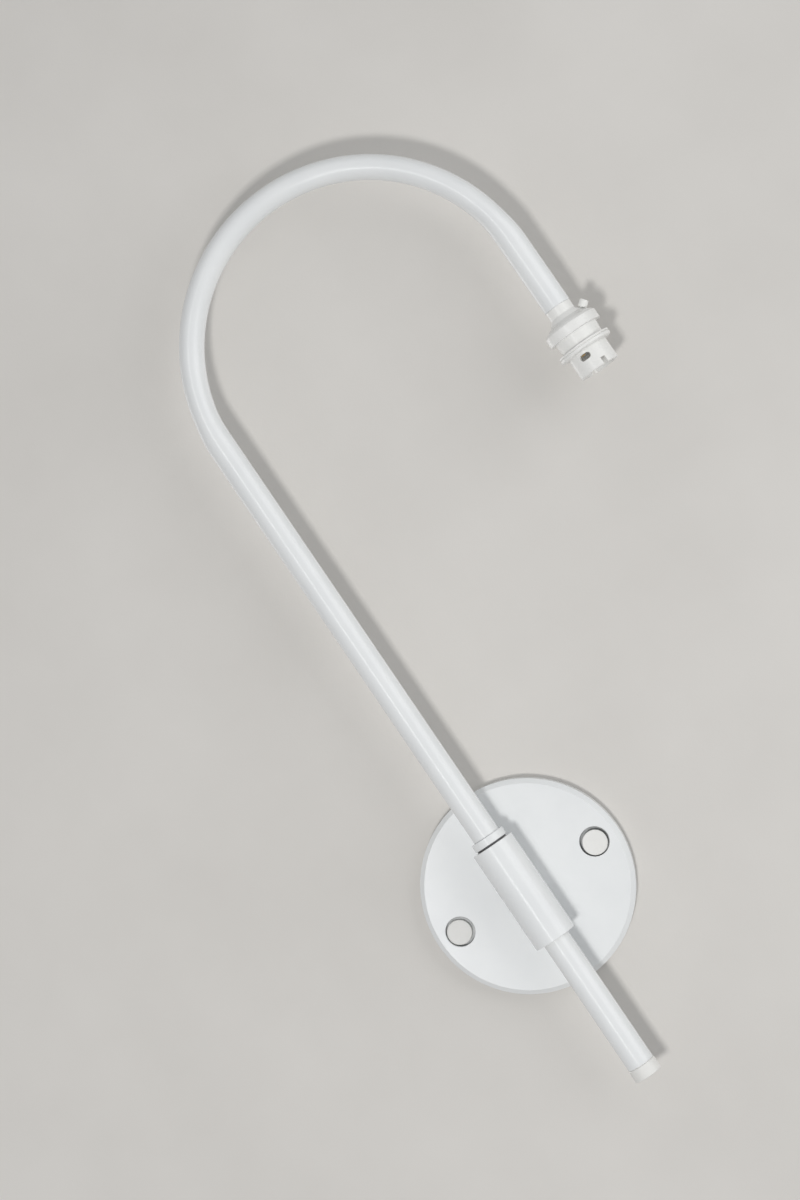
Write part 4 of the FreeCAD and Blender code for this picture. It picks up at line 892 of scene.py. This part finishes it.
def make_grub_screw():
    """A short turned screw whose socket follows a hexagon."""
    low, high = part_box("collar_grub_screw")
    length = high.y - low.y
    radius = (high.x - low.x) / 2
    socket = 2.0 * mm
    outline = np.array([
        (0, 0), (radius - 0.3 * mm, 0), (radius, 0.3 * mm), (radius, length - 0.25 * mm),
        (radius - 0.25 * mm, length), (socket / 2 * 1.2, length), (socket / 2 * 1.16, length - 0.1 * mm),
        (socket / 2 * 1.16, length * 0.45), (0, length * 0.36),
    ])

    def six_sided(radii, angle):
        inner = (radii < socket / 2 * 1.18) & (radii > 0)
        return np.where(inner, socket / 2 / np.cos(from_flat(angle)), radii)
    foot = ((low.x + high.x) / 2, low.y, (low.z + high.z) / 2)
    return turned_piece("socket_grub_screw", outline, foot, (0, 1, 0), 72, six_sided, crease=25)


dress(make_grub_screw(), "arm", zinc_plate, "zinc_steel", "collar_grub_screw")

# %% [markdown]
# ## Slotted screws
# A slotted head is a round bar with a straight groove across its end. The bar is turned up to the bottom of
# the groove, and the two lands beside the groove are D-shaped prisms with a soft top edge. Two half moons
# are simpler than a cut, and their edges come out even.

# %% Slotted screws


def land(radius, gap, low, high, soft, flip):
    """A D-shaped prism: an arc of the head's circle closed by the groove's straight wall."""
    reach = math.acos(gap / radius)
    arc = np.linspace(-reach, reach, 25)
    shape = np.stack([radius * np.cos(arc), radius * np.sin(arc)], axis=1)
    chord = np.linspace(shape[-1], shape[0], 10)[1:-1]
    shape = np.concatenate([shape, chord]) * (1 if flip else -1)
    heart = shape.mean(0)
    inset = np.array([1, 0, 0, 0.3, 1, 1.6])
    lift = np.array([low, low, high - soft, high - 0.3 * soft, high, high])
    size = 1 - inset * soft / radius
    size[0], size[-1] = 0, 0
    size[-2] = 1 - soft / radius
    flat = heart + (shape - heart) * size[:, None, None]
    return np.concatenate([flat, np.broadcast_to(lift[:, None, None], flat.shape[:2] + (1,))], axis=-1)


def slotted(outline, head_r, head_top, groove_width, groove_depth, foot, direction):
    """A turned screw up to the groove's floor, and the two lands above it."""
    body = turned(outline, (0, 0, 0), (0, 0, 1), 64)
    soft = 0.12 * head_r
    lands = [land(head_r, groove_width / 2, head_top - groove_depth - 0.02 * mm, head_top, soft, flip)
             for flip in (False, True)]
    side, front, along = axes_for(direction)
    turn = np.stack([front, -side, along])
    return [np.asarray(foot) + grid @ turn for grid in (body, *lands)]


def screw_piece(name, screws):
    points, faces = several(sum(screws, []), False)
    return built(name, points, faces, crease=40)


lock_tilt = math.radians(38)
lock_axis = np.array([math.cos(lock_tilt), 0, math.sin(lock_tilt)])
lock_length, shank_length, shank_r, head_r = 11.5 * mm, 6.5 * mm, 1.5 * mm, 3.0 * mm
lock_out, lock_down, lock_proud = 15 * mm, 7.8 * mm, 2.5
lock_seat = np.array([holder[0] + lock_out, holder[1], neck_top - lock_down])
lock_top = lock_seat + lock_axis * lock_proud * mm
lock_foot = lock_top - lock_axis * lock_length
slot_deep = 1.2 * mm
lock_outline = softened([
    (0, 0), (shank_r, 0), (shank_r, shank_length), (head_r, shank_length), (head_r, lock_length - slot_deep),
    (0, lock_length - slot_deep),
], [0, 0.3 * mm, 0.1 * mm, 0.3 * mm, 0.02 * mm, 0], closed=False)
lock_screw = screw_piece("slotted_lock_screw", [
    slotted(lock_outline, head_r, lock_length, 1.0 * mm, slot_deep, lock_foot, lock_axis)])
dress(lock_screw, "arm", holder_plastic, "holder_white", "lock_screw")


def clamp_screw(start, direction, length):
    """A small zinc-plated clamping screw, seen only at its slotted end."""
    radius, depth = 1.4 * mm, 0.6 * mm
    outline = softened([(0, 0), (radius, 0), (radius, length - depth), (0, length - depth)],
                       [0, 0.2 * mm, 0.02 * mm, 0], closed=False)
    return slotted(outline, radius, length, 0.5 * mm, depth, start, direction)


block_centre = middle("terminal_block")
screws_low, screws_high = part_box("terminal_screws")
way_pitch, clamp_pitch = 8.5 * mm, 8.0 * mm
clamp_length = screws_high.y - screws_low.y
block_screws = [clamp_screw((way * way_pitch, screws_low.y, block_centre[2] + row * clamp_pitch / 2),
                            (0, 1, 0), clamp_length) for way in (-1, 0, 1) for row in (-1, 1)]
dress(screw_piece("slotted_terminal_screws", block_screws), "wall_plate", zinc_plate, "zinc_steel",
      "terminal_screws")

ends_low, ends_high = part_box("holder_terminal_screws")
screw_z = (ends_low.z + ends_high.z) / 2
side_screw, earth_screw = 3.4 * mm, 3.0 * mm
contact_screws = [
    clamp_screw((ends_low.x + side_screw, holder[1], screw_z), (-1, 0, 0), side_screw),
    clamp_screw((ends_high.x - side_screw, holder[1], screw_z), (1, 0, 0), side_screw),
    clamp_screw((holder[0], ends_high.y - earth_screw, screw_z), (0, 1, 0), earth_screw),
]
dress(screw_piece("slotted_contact_screws", contact_screws), "arm", zinc_plate, "zinc_steel",
      "holder_terminal_screws")

# %% [markdown]
# ## Spring contacts
# Two brass plungers press on the lamp's contacts, each pushed down by a coil spring. The spring is a small
# ring carried along a helix whose turns lie close together at both ends, as in a real compression spring
# with closed ends.

# %% Spring contacts


def make_plunger(name, node):
    low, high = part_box(node)
    length = high.z - low.z
    flange_r = (high.x - low.x) / 2
    pin_r = flange_r - 0.3 * mm
    dome = np.linspace(0, math.pi / 2, 8)
    tip_r = 1.0 * mm
    tip = np.stack([pin_r - tip_r + tip_r * np.cos(dome), length - tip_r + tip_r * np.sin(dome)], axis=1)
    crown = np.stack([np.linspace(pin_r - tip_r, 0, 5), np.full(5, length)], axis=1)[1:]
    body = softened([(0, 0), (flange_r, 0), (flange_r, 1.0 * mm), (pin_r, 1.0 * mm), (pin_r, length - tip_r)],
                    0.12 * mm, closed=False)
    outline = np.concatenate([body[:-1], tip, crown])
    foot = ((low.x + high.x) / 2, (low.y + high.y) / 2, high.z)
    return turned_piece(name, outline, foot, hang_down, 48)


def make_spring(name, node):
    """centre + coil radius * (cos t, sin t), height eased at the ends, and a wire ring round each point."""
    low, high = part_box(node)
    wire_r = 0.3 * mm
    coil_r = (high.x - low.x) / 2 - wire_r
    turns, steps, around = 7, 7 * 28, 12
    share = np.linspace(0, 1, steps)
    closed_share = 1 / turns
    eased = np.interp(share, [0, closed_share, 1 - closed_share, 1],
                      [0, 2.05 * wire_r / (high.z - low.z), 1 - 2.05 * wire_r / (high.z - low.z) - 0.001, 1])
    eased[0], eased[-1] = 0, 1
    height = low.z + wire_r + eased * (high.z - low.z - 2 * wire_r)
    turn = share * turns * full_turn
    radial = np.stack([np.cos(turn), np.sin(turn), np.zeros(steps)], axis=1)
    centre = coil_r * radial + np.array([(low.x + high.x) / 2, (low.y + high.y) / 2, 0])
    centre[:, 2] = height
    angle = np.arange(around) * full_turn / around
    ring = (np.cos(angle)[None, :, None] * radial[:, None]
            + np.sin(angle)[None, :, None] * np.array([0, 0, 1.0]))
    grid = centre[:, None] + wire_r * ring
    poles = [np.broadcast_to(centre[end], (1, around, 3)) for end in (0, -1)]
    grid = np.concatenate([poles[0], grid, poles[1]])
    return built(name, *several([grid], False), crease=60)


for side in ("left", "right"):
    body = f"plunger_{side}"
    dress(make_plunger(f"domed_plunger_{side}", body), body, turned_brass, "brass", body)
    node = f"plunger_spring_{side}"
    spring = dress(make_spring(f"coil_spring_{side}", node), "arm", spring_wire, "spring_steel", node)
    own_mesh(spring)

# %% [markdown]
# ## Pieces that keep their shape
# The bushes, the thrust washer, the tube's end plug, the wires and the flex already have their true shape,
# so they keep it and only get a finish.

# %% Finishes for the pieces that keep their shape
kept_finishes = {
    "bush_lower": nylon,
    "bush_upper": nylon,
    # The near-black washer is painted shade for the gap under the collar.
    "thrust_washer": nylon_made_dark_as_painted_shade,
    "arm_end_plug": zinc_plate,
    "arm_flex": white_sheath,
    "plate_core_live": brown_core,
    "plate_core_neutral": blue_core,
    "plate_core_earth": earth_core_plate,
    "earth_link": earth_core_link,
    "holder_core_live": brown_core,
    "holder_core_neutral": blue_core,
    "holder_core_earth": earth_core_holder,
}
for node, finish in kept_finishes.items():
    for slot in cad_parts[node].material_slots:
        slot.material = finish
shown = [name for name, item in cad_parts.items() if not item.hide_render]
print("kept CAD shapes:", sorted(shown), "without a finish:", sorted(set(shown) - set(kept_finishes)))

# %% [markdown]
# ## The floor, the lights and the camera
# The light lies on a plain pale surface, which is flush with the back of its plate. That surface is only
# there when seen from the front: its back face is clear, so the inside of the plate shows from behind.
# A small lamp in front and a little to the left gives the narrow shadow to the right of every round part.
# A tall narrow strip gives the thin highlight along the tube, a wide panel on the right lifts that side,
# and the even brightness all round keeps the shadows soft.

# %% The floor


def pale_floor():
    surface = Finish("pale_floor")
    surface.colour(surface.between(surface.noise(6, 4), (0.635, 0.615, 0.585), (0.67, 0.65, 0.62)))
    surface.gloss(surface.noise(30, 2), 0.75, 0.85)
    surface.relief(surface.noise(900, 3), 0.05 * mm)
    clear = surface.tree.nodes.new("ShaderNodeBsdfTransparent")
    facing = surface.tree.nodes.new("ShaderNodeNewGeometry")
    choose = surface.tree.nodes.new("ShaderNodeMixShader")
    output = surface.tree.nodes["Material Output"]
    surface.wire(facing.outputs["Backfacing"], choose.inputs["Fac"])
    surface.wire(surface.shader.outputs["BSDF"], choose.inputs[1])
    surface.wire(clear.outputs["BSDF"], choose.inputs[2])
    surface.wire(choose.outputs["Shader"], output.inputs["Surface"])
    return surface.material


reach = 3.0
gap_behind = 0.6 * mm
corners = [(-reach, gap_behind, -reach), (reach, gap_behind, -reach), (reach, gap_behind, reach),
           (-reach, gap_behind, reach)]
floor_mesh = bpy.data.meshes.new("floor")
floor_mesh.from_pydata(corners, [], [(0, 1, 2, 3)])
floor = bpy.data.objects.new("floor", floor_mesh)
bpy.context.scene.collection.objects.link(floor)
floor_mesh.materials.append(pale_floor())
floor.visible_shadow = False
print("floor faces", tuple(round(x, 2) for x in floor_mesh.polygons[0].normal))

# %% The lights


def panel(name, place, aim, width, height, power, tint=(1, 1, 1)):
    """A rectangular lamp that faces a point."""
    lamp = bpy.data.lights.new(name, "AREA")
    lamp.shape = "RECTANGLE"
    lamp.size = width
    lamp.size_y = height
    lamp.energy = power
    lamp.color = tint
    stand = bpy.data.objects.new(name, lamp)
    bpy.context.scene.collection.objects.link(stand)
    place, aim = np.array(place, float), np.array(aim, float)
    side, front, along = axes_for(place - aim)
    turn = np.eye(4)
    turn[:3, 0], turn[:3, 1], turn[:3, 2], turn[:3, 3] = side, front, along, place
    stand.matrix_world = Matrix(turn.tolist())
    stand.visible_camera = False
    return stand


heart = (0.06, -0.03, 0.16)
key = panel("key_lamp", (-0.20, -1.80, -0.20), heart, 0.20, 0.20, 13.6, (1.0, 0.995, 0.985))
key.visible_glossy = False
strip = panel("highlight_strip", (-0.42, -1.78, 0.10), heart, 0.11, 1.8, 5.6)
strip.visible_diffuse = False
panel("right_window", (1.55, -1.05, 0.10), heart, 1.5, 1.7, 11, (0.985, 0.995, 1.0))
panel("top_fill", (0.2, -1.2, 1.8), heart, 1.6, 1.0, 1.5)
panel("back_left", (-1.2, 1.4, 0.8), heart, 0.8, 0.8, 7)
panel("back_right", (1.2, 1.6, 0.1), heart, 1.0, 1.0, 5)

world = bpy.data.worlds.new("soft_room")
bpy.context.scene.world = world
world.use_nodes = True
world.node_tree.nodes["Background"].inputs["Color"].default_value = (0.84, 0.85, 0.865, 1)
world.node_tree.nodes["Background"].inputs["Strength"].default_value = 0.445
bpy.context.scene.view_settings.view_transform = "Standard"

# %% The camera
eye = np.array([0.2454, -1.8690, 0.0897])
looked_at = np.array([0.0408, -0.0400, 0.2049])
up_in_view = np.array([0.5652, 0.0113, 0.8250])


def place_camera():
    """Right, up and backwards make the camera's own axes."""
    camera_data = bpy.data.cameras.new("camera")
    camera_data.lens = 83.5
    camera_data.sensor_width = 36
    camera_data.clip_end = 50
    camera = bpy.data.objects.new("camera", camera_data)
    bpy.context.scene.collection.objects.link(camera)
    backwards = eye - looked_at
    backwards /= np.linalg.norm(backwards)
    rightwards = np.cross(up_in_view, backwards)
    rightwards /= np.linalg.norm(rightwards)
    turn = np.eye(4)
    turn[:3, 0], turn[:3, 1] = rightwards, np.cross(backwards, rightwards)
    turn[:3, 2], turn[:3, 3] = backwards, eye
    camera.matrix_world = Matrix(turn.tolist())
    bpy.context.scene.camera = camera


place_camera()
